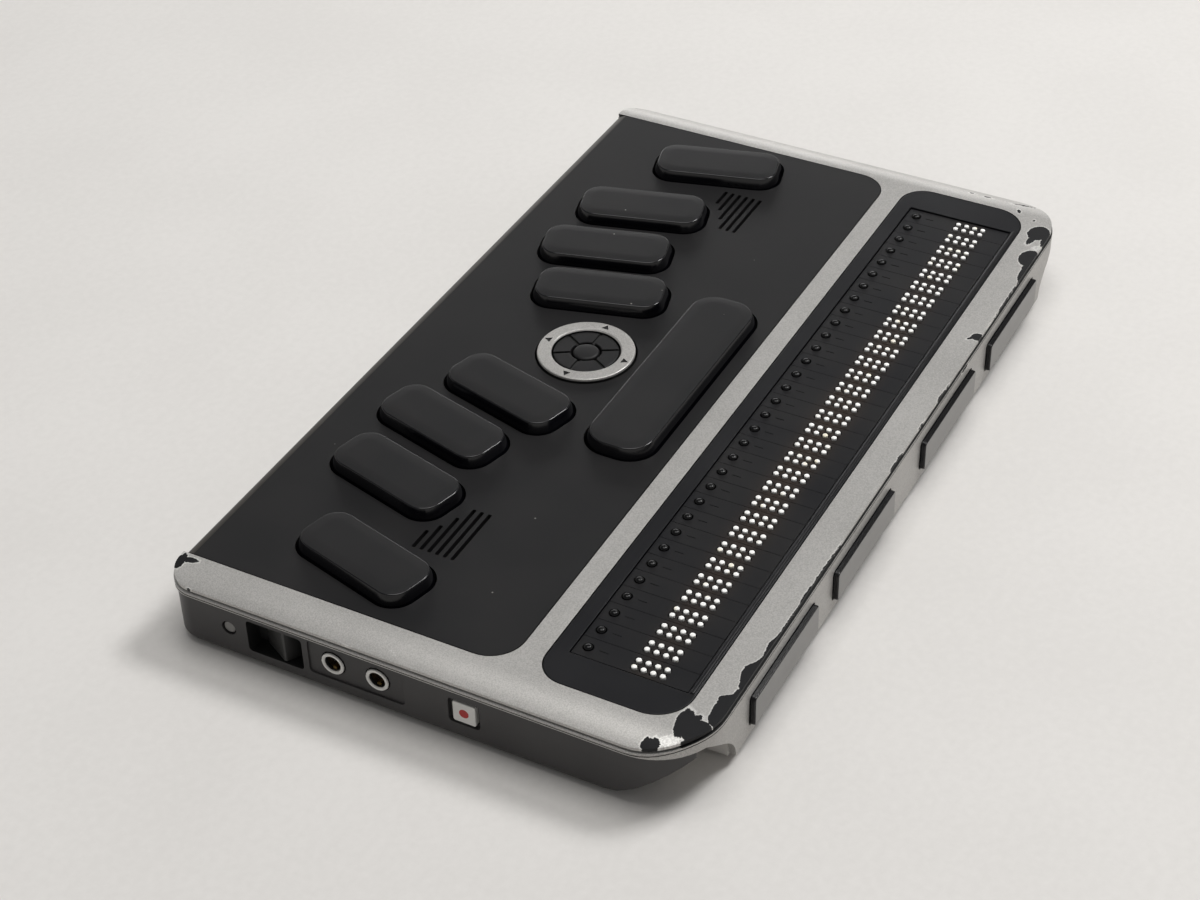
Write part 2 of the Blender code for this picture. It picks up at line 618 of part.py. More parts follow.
def case_outline(inset):
    """The case's plan, drawn in by an inset."""
    radii = (FRONT_CORNER - inset,) * 2 + (BACK_CORNER - inset,) * 2
    sides = (-HALF_WIDTH + inset, HALF_WIDTH - inset, CASE_FRONT + inset, CASE_BACK - inset)
    return rounded(*sides, radii, CASE_CORNER_STEPS)


def plate(name, outline, z_low, z_high, surface=None, place=Matrix.Identity(4)):
    """A flat outline with a thickness, drawn as a filled curve and made a mesh."""
    curve = bpy.data.curves.new(name, "CURVE")
    curve.dimensions = "2D"
    curve.fill_mode = "BOTH"
    curve.extrude = (z_high - z_low) / 2
    line = curve.splines.new("POLY")
    line.points.add(len(outline) - 1)
    for point, (x, y) in zip(line.points, outline):
        point.co = (x, y, 0, 1)
    line.use_cyclic_u = True
    drawn = bpy.data.objects.new(name, curve)
    PARTS.objects.link(drawn)
    bpy.context.view_layer.update()
    mesh = bpy.data.meshes.new_from_object(drawn.evaluated_get(bpy.context.evaluated_depsgraph_get()))
    bpy.data.objects.remove(drawn, do_unlink=True)
    bpy.data.curves.remove(curve)
    form = bmesh.new()
    form.from_mesh(mesh)
    bpy.data.meshes.remove(mesh)
    bmesh.ops.remove_doubles(form, verts=form.verts, dist=MERGE / 10)
    bmesh.ops.translate(form, verts=form.verts, vec=(0, 0, (z_low + z_high) / 2))
    return from_bmesh(name, form, surface, place)


# Turns an outline drawn in X and Z so that its thickness runs towards the user, from -Y
FACING_FRONT = Matrix(((1, 0, 0, 0), (0, 0, -1, 0), (0, 1, 0, 0), (0, 0, 0, 1)))
# Turns an outline drawn in Y and Z so that its thickness runs along X
FACING_SIDE = Matrix(((0, 0, 1, 0), (1, 0, 0, 0), (0, 1, 0, 0), (0, 0, 0, 1)))


def front_prism(name, outline, y_low, y_high, surface=None):
    """An outline in X and Z, as long as the stretch in Y."""
    return plate(name, outline, -y_high, -y_low, surface, FACING_FRONT)


def side_prism(name, outline, x_low, x_high, surface=None):
    """An outline in Y and Z, as long as the stretch in X."""
    return plate(name, outline, x_low, x_high, surface, FACING_SIDE)


def loft(name, sections, surface=None, place=Matrix.Identity(4)):
    """A solid through outlines with the same number of points, from the lowest level to the highest."""
    form = bmesh.new()
    rings = [[form.verts.new((x, y, z)) for x, y in outline] for outline, z in sections]
    for low, high in zip(rings, rings[1:]):
        for i, corner in enumerate(low):
            after = (i + 1) % len(low)
            form.faces.new((corner, low[after], high[after], high[i]))
    form.faces.new(reversed(rings[0]))
    form.faces.new(rings[-1])
    return from_bmesh(name, form, surface, place)


def turned(name, profile, surface=None, place=Matrix.Identity(4), steps=ROUND_STEPS):
    """A profile of radius and height turned round the Z axis, listed down its outer side."""
    closed = all(radius > 0 for radius, z in profile)
    form = bmesh.new()
    points = [form.verts.new((radius, 0, z)) for radius, z in profile]
    for start, end in zip(points, points[1:]):
        form.edges.new((start, end))
    if closed:
        form.edges.new((points[-1], points[0]))
    line = form.verts[:] + form.edges[:]
    centre = (0, 0, 0)
    full = 2 * math.pi
    bmesh.ops.spin(form, geom=line, cent=centre, axis=(0, 0, 1), angle=full, steps=steps, use_merge=True)
    bmesh.ops.remove_doubles(form, verts=form.verts, dist=MERGE / 10)
    return from_bmesh(name, form, surface, place)


def add_box(form, x_low, x_high, y_low, y_high, z_low, z_high):
    centre = Matrix.Translation(((x_low + x_high) / 2, (y_low + y_high) / 2, (z_low + z_high) / 2))
    size = Matrix.Diagonal((x_high - x_low, y_high - y_low, z_high - z_low, 1))
    bmesh.ops.create_cube(form, size=1, matrix=centre @ size)


def add_peg(form, centre, z_low, z_high, radius, top_radius, sides):
    middle = Matrix.Translation((centre[0], centre[1], (z_low + z_high) / 2))
    bmesh.ops.create_cone(
        form,
        cap_ends=True,
        segments=sides,
        radius1=radius,
        radius2=top_radius,
        depth=z_high - z_low,
        matrix=middle,
    )


def block(name, spans, surface=None, place=Matrix.Identity(4)):
    """One box, or several apart, from lists of low and high limits."""
    form = bmesh.new()
    for span in spans:
        add_box(form, *span)
    return from_bmesh(name, form, surface, place)


def pegs(name, centres, z_low, z_high, radius, top_radius=None, sides=SMALL_ROUND_STEPS, surface=None):
    form = bmesh.new()
    for centre in centres:
        add_peg(form, centre, z_low, z_high, radius, radius if top_radius is None else top_radius, sides)
    return from_bmesh(name, form, surface)


def crown_height(x, offset):
    """The top frame's height: level in the middle, and falling in an arc to each side."""
    width = HALF_WIDTH - CROWN_FLAT
    radius = (width**2 + CROWN_DROP**2) / (2 * CROWN_DROP)
    out = max(abs(x) - CROWN_FLAT, 0)
    return CASE_TOP - offset - (radius - math.sqrt(radius**2 - out**2))


def crown_prism(name, offset, z_low):
    """All that lies under the crowned top, lowered by an offset, down to a level."""
    reach = HALF_WIDTH + OVERRUN / 2 - CROWN_FLAT
    outs = [CROWN_FLAT + reach * i / CROWN_STEPS for i in range(CROWN_STEPS + 1)]
    right = [(x, crown_height(x, offset)) for x in outs]
    left = [(-x, z) for x, z in reversed(right)]
    outline = [(-outs[-1], z_low), (outs[-1], z_low)] + right[::-1] + left[::-1]
    return front_prism(name, outline, CASE_FRONT - OVERRUN, CASE_BACK + OVERRUN)


def scoop_outline(lift):
    """The space under a front corner, seen from the side: level, a bend, then a slope up to the front."""
    rise = lift / math.cos(SCOOP_ANGLE)
    bottom = CASE_BOTTOM + lift
    tangent = SCOOP_BEND * math.tan(SCOOP_ANGLE / 2)
    corner_y = SCOOP_START + (rise - lift) / math.tan(SCOOP_ANGLE)
    bend = arc(
        (corner_y + tangent, bottom + SCOOP_BEND),
        SCOOP_BEND,
        -math.pi / 2,
        -math.pi / 2 - SCOOP_ANGLE,
        SHORT_ARC_STEPS,
    )
    far = CASE_FRONT - OVERRUN
    slope_z = bottom + (corner_y - far) * math.tan(SCOOP_ANGLE)
    low = CASE_BOTTOM - OVERRUN
    return [(corner_y + tangent, low)] + bend + [(far, slope_z), (far, low)]


def scoops(name, side, lift):
    right = side_prism(name + "_right", scoop_outline(lift), side, HALF_WIDTH + OVERRUN)
    left = side_prism(name + "_left", scoop_outline(lift), -HALF_WIDTH - OVERRUN, -side)
    return right, left


def make_bottom_housing():
    low_edge = TRAY_EDGE_ROUND * (1 - math.sin(math.pi / 4))
    tray = loft(
        "bottom_housing",
        [
            (case_outline(TRAY_INSET + TRAY_EDGE_ROUND), CASE_BOTTOM),
            (case_outline(TRAY_INSET + low_edge), CASE_BOTTOM + low_edge),
            (case_outline(TRAY_INSET), CASE_BOTTOM + TRAY_EDGE_ROUND),
            (case_outline(TRAY_INSET), TRAY_TOP),
        ],
        TRAY_BLACK,
    )
    hollow = plate("tray_hollow", case_outline(TRAY_INSET + TRAY_WALL), FLOOR_TOP, CASE_TOP)
    between_scoops = SCOOP_SIDE - TRAY_WALL
    cut(hollow, *scoops("tray_hollow_scoop", between_scoops, TRAY_WALL))
    cut(tray, hollow, *scoops("tray_scoop", SCOOP_SIDE, 0))
    front = CASE_FRONT - OVERRUN
    low = RIM_FRONT_BOTTOM - SEAT_GAP
    keys_back = CASE_FRONT + WALL_BEHIND_RIM
    rim_side = RIM_SWEEP_END + RIM_THICKNESS
    corners_back = CASE_FRONT + FRONT_CORNER / 2
    rim_gap = block("tray_rim_gap", [(-rim_side, rim_side, front, corners_back, low, CASE_TOP)])
    behind_rim = case_outline(RIM_THICKNESS + SEAT_GAP)
    cut(rim_gap, plate("tray_behind_rim", behind_rim, -OVERRUN, CASE_TOP + OVERRUN))
    cut(tray, rim_gap)
    cut(tray, block("tray_key_gap", [(-between_scoops, between_scoops, front, keys_back, low, CASE_TOP)]))
    add_tray_posts(tray)
    cut_left_side(tray)
    cut_ports(tray)
    cut_battery_bay(tray)
    return tray


def add_tray_posts(tray):
    low = FLOOR_TOP - TRAY_FLOOR / 2
    post_top = BACKPLANE_BOTTOM - SEAT_GAP
    join(tray, pegs("backplane_posts", BACKPLANE_POSTS, low, post_top, POST_RADIUS, sides=POST_STEPS))
    join(tray, pegs("screw_posts", SCREW_PLACES.values(), low, SCREW_POST_TOP, SCREW_POST))
    rest_top = MAIN_BOARD_BOTTOM - SEAT_GAP
    join(tray, pegs("main_board_rests", BOARD_RESTS, low, rest_top, POST_RADIUS, sides=POST_STEPS))
    under = CASE_BOTTOM - OVERRUN
    head_room = CASE_BOTTOM + SCREW_SUNK + SCREW_HEAD_HEIGHT + SEAT_GAP
    shank_hole = SCREW_SHANK + SEAT_GAP
    cut(tray, pegs("screw_head_holes", SCREW_PLACES.values(), under, head_room, SCREW_HEAD + SEAT_GAP))
    cut(tray, pegs("screw_shank_holes", SCREW_PLACES.values(), under, CASE_TOP, shank_hole))
    foot_top = CASE_BOTTOM + FOOT_SUNK
    foot_hole = FOOT_RADIUS + SEAT_GAP
    cut(tray, pegs("foot_wells", FOOT_PLACES.values(), under, foot_top, foot_hole, sides=MIDDLE_ROUND_STEPS))


def through_left_wall(name, outline, depth=TRAY_WALL + OVERRUN):
    """An outline in Y and Z cut into the left wall, to a depth from its outer face."""
    return side_prism(name, outline, -SIDE_WALL - OVERRUN, -SIDE_WALL + depth)


def cut_left_side(tray):
    half_y, half_z = (size / 2 for size in SWITCH_WELL)
    wall = SWITCH_WELL_WALL
    floor_x = -SIDE_WALL + SWITCH_WELL_DEPTH
    well_box = (
        -SIDE_WALL + TRAY_WALL / 2,
        floor_x + wall,
        SWITCH_Y - half_y - wall,
        SWITCH_Y + half_y + wall,
        FLOOR_TOP - TRAY_FLOOR / 2,
        SWITCH_Z + half_z + wall,
    )
    join(tray, block("switch_well_box", [well_box]))
    low, high = SWITCH_Z - half_z, SWITCH_Z + half_z
    well = rounded(SWITCH_Y - half_y, SWITCH_Y + half_y, low, high, (SMALL_CORNER,) * 4)
    cut(tray, through_left_wall("switch_well", well, SWITCH_WELL_DEPTH))
    stem_y = SWITCH_STEM[0] / 2 + SEAT_GAP
    stem_z = SWITCH_STEM[1] / 2 + SEAT_GAP
    stem_slot = (
        floor_x - OVERRUN,
        floor_x + wall + OVERRUN,
        SWITCH_Y - stem_y - SWITCH_TRAVEL,
        SWITCH_Y + stem_y,
        SWITCH_Z - stem_z,
        SWITCH_Z + stem_z,
    )
    cut(tray, block("switch_stem_slot", [stem_slot]))
    half_z = JACK_FIELD_HEIGHT / 2
    front = min(JACK_PLACES.values()) - JACK_FIELD_MARGINS[1]
    back = max(JACK_PLACES.values()) + JACK_FIELD_MARGINS[0]
    field = rounded(front, back, JACK_Z - half_z, JACK_Z + half_z, (SMALL_CORNER,) * 4, SHORT_CORNER_STEPS)
    cut(tray, through_left_wall("jack_field", field, JACK_FIELD_DEPTH))
    for name, y in JACK_PLACES.items():
        hole = circle(JACK_NOSE + SEAT_GAP, SMALL_ROUND_STEPS, (y, JACK_Z))
        cut(tray, through_left_wall(name + "_hole", hole))
    hole = circle(RESET_RADIUS + SEAT_GAP, SMALL_ROUND_STEPS, (RESET_Y, RESET_Z))
    cut(tray, through_left_wall("reset_hole", hole))
    half = RECORD_FACE / 2 + SEAT_GAP
    hole = (RECORD_Y - half, RECORD_Y + half, RECORD_Z - half, RECORD_Z + half)
    cut(tray, through_left_wall("record_hole", rounded(*hole, (RECORD_CORNER,) * 4, SHORT_CORNER_STEPS)))
    half_y, half_z = (size / 2 for size in RECORD_FIELD)
    frame = (RECORD_Y - half_y, RECORD_Y + half_y, RECORD_Z - half_z, RECORD_Z + half_z)
    field = rounded(*frame, (SMALL_CORNER,) * 4, SHORT_CORNER_STEPS)
    cut(tray, through_left_wall("record_field", field, RECORD_FIELD_DEPTH))


def cut_ports(tray):
    gap = SEAT_GAP
    out = HALF_WIDTH + OVERRUN
    half = USB_HOST_SHELL[1] / 2 + gap
    usb_top = PORT_BOTTOM + USB_HOST_SHELL[2] + gap
    usb = (INNER_WALL - gap, out, USB_HOST_Y - half, USB_HOST_Y + half, PORT_BOTTOM - gap, usb_top)
    half = CARD_SHELL[1] / 2 + gap
    low = PORT_BOTTOM - gap
    card = (INNER_WALL - gap, out, CARD_Y - half, CARD_Y + half, low, PORT_BOTTOM + CARD_SHELL[2] + gap)
    inner_y = BACK_WALL - TRAY_WALL - gap
    out = CASE_BACK + OVERRUN
    half = INLET_SHELL[0] / 2 + gap
    inlet = (INLET_X - half, INLET_X + half, inner_y, out, low, PORT_BOTTOM + INLET_SHELL[2] + gap)
    half = USB_DEVICE_SHELL[0] / 2 + gap
    device_top = PORT_BOTTOM + USB_DEVICE_SHELL[2] + gap
    device = (USB_DEVICE_X - half, USB_DEVICE_X + half, inner_y, out, PORT_BOTTOM - gap, device_top)
    cut(tray, block("port_windows", [usb, card, inlet, device]))


def cut_battery_bay(tray):
    gap = SEAT_GAP
    under = CASE_BOTTOM - OVERRUN
    bay = (
        DOOR_SPAN[0] - gap,
        DOOR_SPAN[1] + gap,
        DOOR_SPAN[2] - gap,
        DOOR_SPAN[3] + gap,
        under,
        FLOOR_TOP + OVERRUN,
    )
    half_x = LATCH_KNOB[0] / 2 + gap
    half_y = LATCH_KNOB[1] / 2 + gap
    low, high = LATCH_KNOB_Y - half_y, LATCH_KNOB_Y + half_y + LATCH_TRAVEL
    slot = (-half_x, half_x, low, high, under, FLOOR_TOP + OVERRUN)
    cut(tray, block("battery_bay", [bay, slot]))


def rim_sweep_space(side):
    """The space beside the rim's front wall, seen from the front: the lower edge sweeps up to the band."""
    rise = RIM_BAND_BOTTOM - RIM_FRONT_BOTTOM
    width = RIM_SWEEP_END - RIM_SWEEP_START
    shares = [i / CASE_CORNER_STEPS for i in range(CASE_CORNER_STEPS + 1)]
    sweep = [(RIM_SWEEP_START + width * share**2, RIM_FRONT_BOTTOM + rise * share) for share in shares]
    out = HALF_WIDTH + OVERRUN
    low = RIM_FRONT_BOTTOM - OVERRUN
    outline = [(RIM_SWEEP_START, low)] + sweep + [(out, RIM_BAND_BOTTOM), (out, low)]
    return [(side * x, z) for x, z in outline]


def make_rim_frame():
    rim = plate("rim_frame", case_outline(0), RIM_FRONT_BOTTOM, CASE_TOP, SILVER_PAINT)
    keep(rim, crown_prism("rim_crown", RIM_TOP_OFFSET, -OVERRUN))
    inner = case_outline(RIM_THICKNESS)
    cut(rim, plate("rim_upper_hollow", inner, RIM_BAND_BOTTOM + RIM_LEDGE_THICKNESS, CASE_TOP + OVERRUN))
    cut(rim, plate("rim_lower_hollow", inner, -OVERRUN, RIM_BAND_BOTTOM))
    hole = case_outline(RIM_THICKNESS + RIM_LEDGE_WIDTH)
    cut(rim, plate("rim_hole", hole, -OVERRUN, CASE_TOP + OVERRUN))
    out = HALF_WIDTH + OVERRUN
    behind = (-out, out, CASE_FRONT + FRONT_CORNER / 2, CASE_BACK + OVERRUN, -OVERRUN, RIM_BAND_BOTTOM)
    cut(rim, block("rim_behind", [behind]))
    for side, name in ((-1, "rim_left_sweep"), (1, "rim_right_sweep")):
        cut(rim, front_prism(name, rim_sweep_space(side), CASE_FRONT - OVERRUN, CASE_FRONT + FRONT_CORNER))
    half = PANEL_WIDTH / 2 + SEAT_GAP * 2
    back = (-half, half, CASE_BACK - FRONT_CORNER, CASE_BACK + OVERRUN, RIM_BACK_TOP, CASE_TOP + OVERRUN)
    cut(rim, block("rim_back_gap", [back]))
    opening = pill(THUMB_WIDTH, THUMB_HEIGHT, THUMB_CORNER, THUMB_SLACK, SHORT_CORNER_STEPS)
    for i, x in enumerate(THUMB_PLACES):
        hole = [(x + dx, THUMB_Z + dz) for dx, dz in opening]
        name = f"thumb_hole_{i + 1}"
        cut(rim, front_prism(name, hole, CASE_FRONT - OVERRUN, CASE_FRONT + RIM_THICKNESS + OVERRUN / 2))
    return rim


def key_place(name):
    x, y = KEY_PLACES[name]
    return Matrix.Translation((x, y, 0)) @ Matrix.Rotation(math.copysign(KEY_SPLAY, x), 4, "Z")


def key_cutters(label, grow, steps):
    """Holes for the eight keys, the space bar and the arrow ring, through the panel or the deck under it."""
    low = DECK_BOTTOM - OVERRUN
    high = CASE_TOP + OVERRUN
    outline = pill(KEY_WIDTH, KEY_LENGTH, KEY_CORNER, KEY_SKIRT + grow, steps)
    holes = [plate(f"{name}_{label}_hole", outline, low, high, None, key_place(name)) for name in KEY_PLACES]
    outline = pill(SPACE_LENGTH, SPACE_WIDTH, SPACE_CORNER, KEY_SKIRT + grow, steps)
    place = Matrix.Translation((0, SPACE_Y, 0))
    holes.append(plate(f"space_bar_{label}_hole", outline, low, high, None, place))
    ring = circle(RING_OUTER + RING_SLACK, ROUND_STEPS)
    holes.append(plate(f"ring_{label}_hole", ring, low, high, None, Matrix.Translation((0, RING_Y, 0))))
    return holes


def slot_spans():
    """The speaker slots' limits on the right, mirrored to the left."""
    spans = []
    for i, length in enumerate(SLOT_LENGTHS):
        inner_end = SLOT_OUTER_END - length
        y = SLOT_FIRST_Y + i * SLOT_PITCH
        limits = (y - SLOT_WIDTH / 2, y + SLOT_WIDTH / 2, PANEL_BOTTOM - OVERRUN, CASE_TOP + OVERRUN)
        spans.append((inner_end, SLOT_OUTER_END, *limits))
        spans.append((-SLOT_OUTER_END, -inner_end, *limits))
    return spans


def make_top_cover():
    cover = plate("top_cover", case_outline(0), DECK_BOTTOM, CASE_TOP + OVERRUN, SILVER_PAINT)
    keep(cover, crown_prism("cover_crown", 0, CASE_BOTTOM))
    under_lip = plate("cover_lip_space", case_outline(-OVERRUN / 2), DECK_BOTTOM - OVERRUN, CASE_TOP)
    cut(under_lip, plate("cover_core", case_outline(COVER_LIP_WIDTH), CASE_BOTTOM, CASE_TOP + OVERRUN))
    keep(under_lip, crown_prism("cover_lip_crown", COVER_LIP, CASE_BOTTOM))
    cut(cover, under_lip)
    half = PANEL_WIDTH / 2 + SEAT_GAP
    corner = PANEL_CORNER + SEAT_GAP
    back = CASE_BACK + OVERRUN
    pocket = rounded(-half, half, PANEL_FRONT - SEAT_GAP, back, (corner, corner, 0, 0), CASE_CORNER_STEPS)
    cut(cover, plate("panel_pocket", pocket, DECK_TOP, CASE_TOP + OVERRUN))
    lip = CASE_BACK - PANEL_LIP_DEPTH - SEAT_GAP
    cut(cover, block("panel_lip_space", [(-half, half, lip, back, DECK_BOTTOM - OVERRUN, CASE_TOP)]))
    cut(cover, plate("bezel_pocket", bezel_outline(SEAT_GAP), DECK_TOP, CASE_TOP + OVERRUN))
    half = CELL_SPAN / 2 + SEAT_GAP * 2
    slack = SEAT_GAP * 2
    well = (-half, half, CELLS_FRONT - slack, CELLS_BACK + slack, DECK_BOTTOM - OVERRUN, CASE_TOP)
    cut(cover, block("cell_well", [well]))
    boss_low = KEY_BOARD_TOP + SEAT_GAP
    boss_top = DECK_TOP - SEAT_GAP
    join(cover, pegs("board_bosses", BOARD_BOSSES, boss_low, boss_top, BOARD_BOSS_RADIUS, sides=POST_STEPS))
    screw_low = SCREW_POST_TOP + SEAT_GAP
    join(cover, pegs("screw_bosses", SCREW_PLACES.values(), screw_low, boss_top, SCREW_BOSS))
    shank = SCREW_SHANK + SEAT_GAP
    cut(cover, pegs("screw_pilots", SCREW_PLACES.values(), CASE_BOTTOM, SCREW_TIP + SEAT_GAP, shank))
    cut(cover, *key_cutters("deck", DECK_SLACK, SHORT_CORNER_STEPS))
    half = SPEAKER_LENGTH / 2
    front = SLOT_FIRST_Y - SLOT_WIDTH
    limits = (front, front + SLOT_PITCH * 2 + SLOT_WIDTH * 2, DECK_BOTTOM - OVERRUN, CASE_TOP)
    windows = [(side * SPEAKER_X - half, side * SPEAKER_X + half, *limits) for side in (-1, 1)]
    return cut(cover, block("speaker_windows", windows))


def bezel_outline(grow):
    half = PANEL_WIDTH / 2 + grow
    front = BEZEL_FRONT_CORNER + grow
    back = BEZEL_BACK_CORNER + grow
    corners = (front, front, back, back)
    return rounded(-half, half, BEZEL_FRONT - grow, BEZEL_BACK + grow, corners, CASE_CORNER_STEPS)


def make_keyboard_panel():
    """A plate that runs to the back of the case, where it is rounded and turns down in a short lip."""
    centre = (CASE_BACK - PANEL_BACK_ROUND, CASE_TOP - PANEL_BACK_ROUND)
    rounding = arc(centre, PANEL_BACK_ROUND, 0, math.pi / 2, 5)
    lip_y = CASE_BACK - PANEL_LIP_DEPTH
    section = [(PANEL_FRONT - OVERRUN, PANEL_BOTTOM), (lip_y, PANEL_BOTTOM), (lip_y, RIM_BACK_TOP + SEAT_GAP)]
    section += [(CASE_BACK, RIM_BACK_TOP + SEAT_GAP)] + rounding[1:] + [(PANEL_FRONT - OVERRUN, CASE_TOP)]
    half = PANEL_WIDTH / 2
    panel = side_prism("keyboard_panel", section, -half - OVERRUN, half + OVERRUN, SOFT_BLACK)
    corners = (PANEL_CORNER, PANEL_CORNER, 0, 0)
    outline = rounded(-half, half, PANEL_FRONT, CASE_BACK + OVERRUN, corners, CASE_CORNER_STEPS)
    keep(panel, plate("panel_outline", outline, CASE_BOTTOM, CASE_TOP + OVERRUN))
    return cut(panel, block("speaker_slots", slot_spans()), *key_cutters("panel", KEY_SLACK, CORNER_STEPS))


def make_display_bezel():
    bezel = plate("display_bezel", bezel_outline(0), PANEL_BOTTOM, CASE_TOP, GLOSS_BLACK)
    half = CELL_SPAN / 2 + SEAT_GAP
    window = (-half, half, CELLS_FRONT - SEAT_GAP, CELLS_BACK + SEAT_GAP, CASE_BOTTOM, CASE_TOP + OVERRUN)
    cut(bezel, block("cell_window", [window]))
    middle = (BEZEL_FRONT + CELLS_FRONT - SEAT_GAP) / 2
    base = CASE_TOP - PANEL_THICKNESS / 2
    top = CASE_TOP + RIDGE_HEIGHT
    section = [
        (middle - RIDGE_WIDTH / 2, base),
        (middle + RIDGE_WIDTH / 2, base),
        (middle + RIDGE_WIDTH / 2, CASE_TOP),
        (middle + RIDGE_WIDTH / 4, top),
        (middle - RIDGE_WIDTH / 4, top),
        (middle - RIDGE_WIDTH / 2, CASE_TOP),
    ]
    return join(bezel, side_prism("bezel_ridge", section, -half, half))


def cell_x(i):
    return -CELL_SPAN / 2 + CELL_PITCH * (i + 1 / 2)


def make_cell_caps():
    """One strip of caps with grooves between them, slots for the dots and holes for the buttons."""
    span = (-CELL_SPAN / 2, CELL_SPAN / 2, CELLS_FRONT, CELLS_BACK, CAP_BOTTOM, CAP_TOP)
    caps = block("cell_caps", [span], GLOSS_BLACK)
    low, high = CAP_BOTTOM - OVERRUN, CAP_TOP + OVERRUN
    half = DOT_RADIUS + DOT_SLACK
    back = DOT_FRONT_ROW + DOT_SPACING * (DOT_ROWS - 1) + half
    slots = []
    for i in range(CELL_COUNT):
        for side in (-1, 1):
            x = cell_x(i) + side * DOT_SPACING / 2
            slots.append((x - half, x + half, DOT_FRONT_ROW - half, back, low, high))
    cut(caps, block("dot_slots", slots))
    holes = [(cell_x(i), ROUTER_ROW) for i in range(CELL_COUNT)]
    cut(caps, pegs("router_holes", holes, low, high, ROUTER_RADIUS + SEAT_GAP, sides=ROUTER_SIDES))
    grooves = []
    for i in range(1, CELL_COUNT):
        x = cell_x(i) - CELL_PITCH / 2
        ends = (CELLS_FRONT - OVERRUN, CELLS_BACK + OVERRUN)
        grooves.append((x - CAP_GROOVE / 2, x + CAP_GROOVE / 2, *ends, CAP_TOP - CAP_GROOVE, high))
    return cut(caps, block("cap_grooves", grooves))


def comb_rows():
    """The limits in Y of the pin combs and of the button combs."""
    back = DOT_FRONT_ROW + DOT_SPACING * (DOT_ROWS - 1) + COMB_MARGIN
    return (DOT_FRONT_ROW - COMB_MARGIN, back), (ROUTER_ROW - COMB_MARGIN, ROUTER_ROW + COMB_MARGIN)


def make_cell_block():
    """The body under the caps that carries the pin and button combs in two wells."""
    half = CELL_SPAN / 2
    span = (-half, half, CELLS_FRONT, CELLS_BACK, CELL_BLOCK_BOTTOM, CELL_BLOCK_TOP)
    body = block("cell_block", [span], GLOSS_BLACK)
    gap = SEAT_GAP
    ends = half - gap
    floor = CELL_BLOCK_TOP - COMB_WELL_DEPTH
    wells = [(-ends, ends, low - gap, high + gap, floor, CASE_TOP) for low, high in comb_rows()]
    return cut(body, block("comb_wells", wells))


def comb(name, row, centres, top, radius, tip, sides, surface, group):
    """A thin bar with the pins or buttons of one group of cells standing on it."""
    width = CELL_SPAN / CELL_GROUPS
    left = -CELL_SPAN / 2 + width * group + SEAT_GAP * 2
    span = (left, left + width - SEAT_GAP * 4, *row, COMB_TOP - COMB_THICKNESS, COMB_TOP)
    bar = block(name, [span], surface)
    return join(bar, pegs(name + "_pins", centres, COMB_TOP - COMB_THICKNESS / 2, top, radius, tip, sides))


def make_combs():
    pin_row, button_row = comb_rows()
    cells = CELL_COUNT // CELL_GROUPS
    for group in range(CELL_GROUPS):
        columns = [cell_x(group * cells + i) for i in range(cells)]
        dots = [
            (x + side * DOT_SPACING / 2, DOT_FRONT_ROW + DOT_SPACING * row)
            for x in columns
            for side in (-1, 1)
            for row in range(DOT_ROWS)
        ]
        top = CAP_TOP + DOT_HEIGHT
        name = f"braille_pins_{group + 1}"
        comb(name, pin_row, dots, top, DOT_RADIUS, DOT_TIP_RADIUS, DOT_SIDES, DOT_WHITE, group)
        buttons = [(x, ROUTER_ROW) for x in columns]
        top = CAP_TOP + ROUTER_HEIGHT
        name = f"routing_keys_{group + 1}"
        shape = (ROUTER_RADIUS, ROUTER_TIP_RADIUS, ROUTER_SIDES)
        comb(name, button_row, buttons, top, *shape, GLOSS_BLACK, group)


def key_cap(name, length_x, length_y, corner, place):
    """A cap with a skirt that passes the panel and a flange that stops under the deck."""
    top = CASE_TOP + KEY_RISE
    levels = (
        (KEY_FLANGE, KEY_FLANGE_TOP - KEY_FLANGE_THICKNESS),
        (KEY_FLANGE, KEY_FLANGE_TOP),
        (KEY_SKIRT, KEY_FLANGE_TOP),
        (KEY_SKIRT, CASE_TOP),
        (KEY_EDGE / 4, top - KEY_EDGE),
        (-KEY_EDGE / 2, top - KEY_EDGE / 4),
        (-KEY_EDGE * 2, top),
    )
    sections = [(pill(length_x, length_y, corner, grow), z) for grow, z in levels]
    return loft(name, sections, SOFT_BLACK, place)


def make_keys():
    for name in KEY_PLACES:
        key_cap(name, KEY_WIDTH, KEY_LENGTH, KEY_CORNER, key_place(name))
    key_cap("space_bar", SPACE_LENGTH, SPACE_WIDTH, SPACE_CORNER, Matrix.Translation((0, SPACE_Y, 0)))


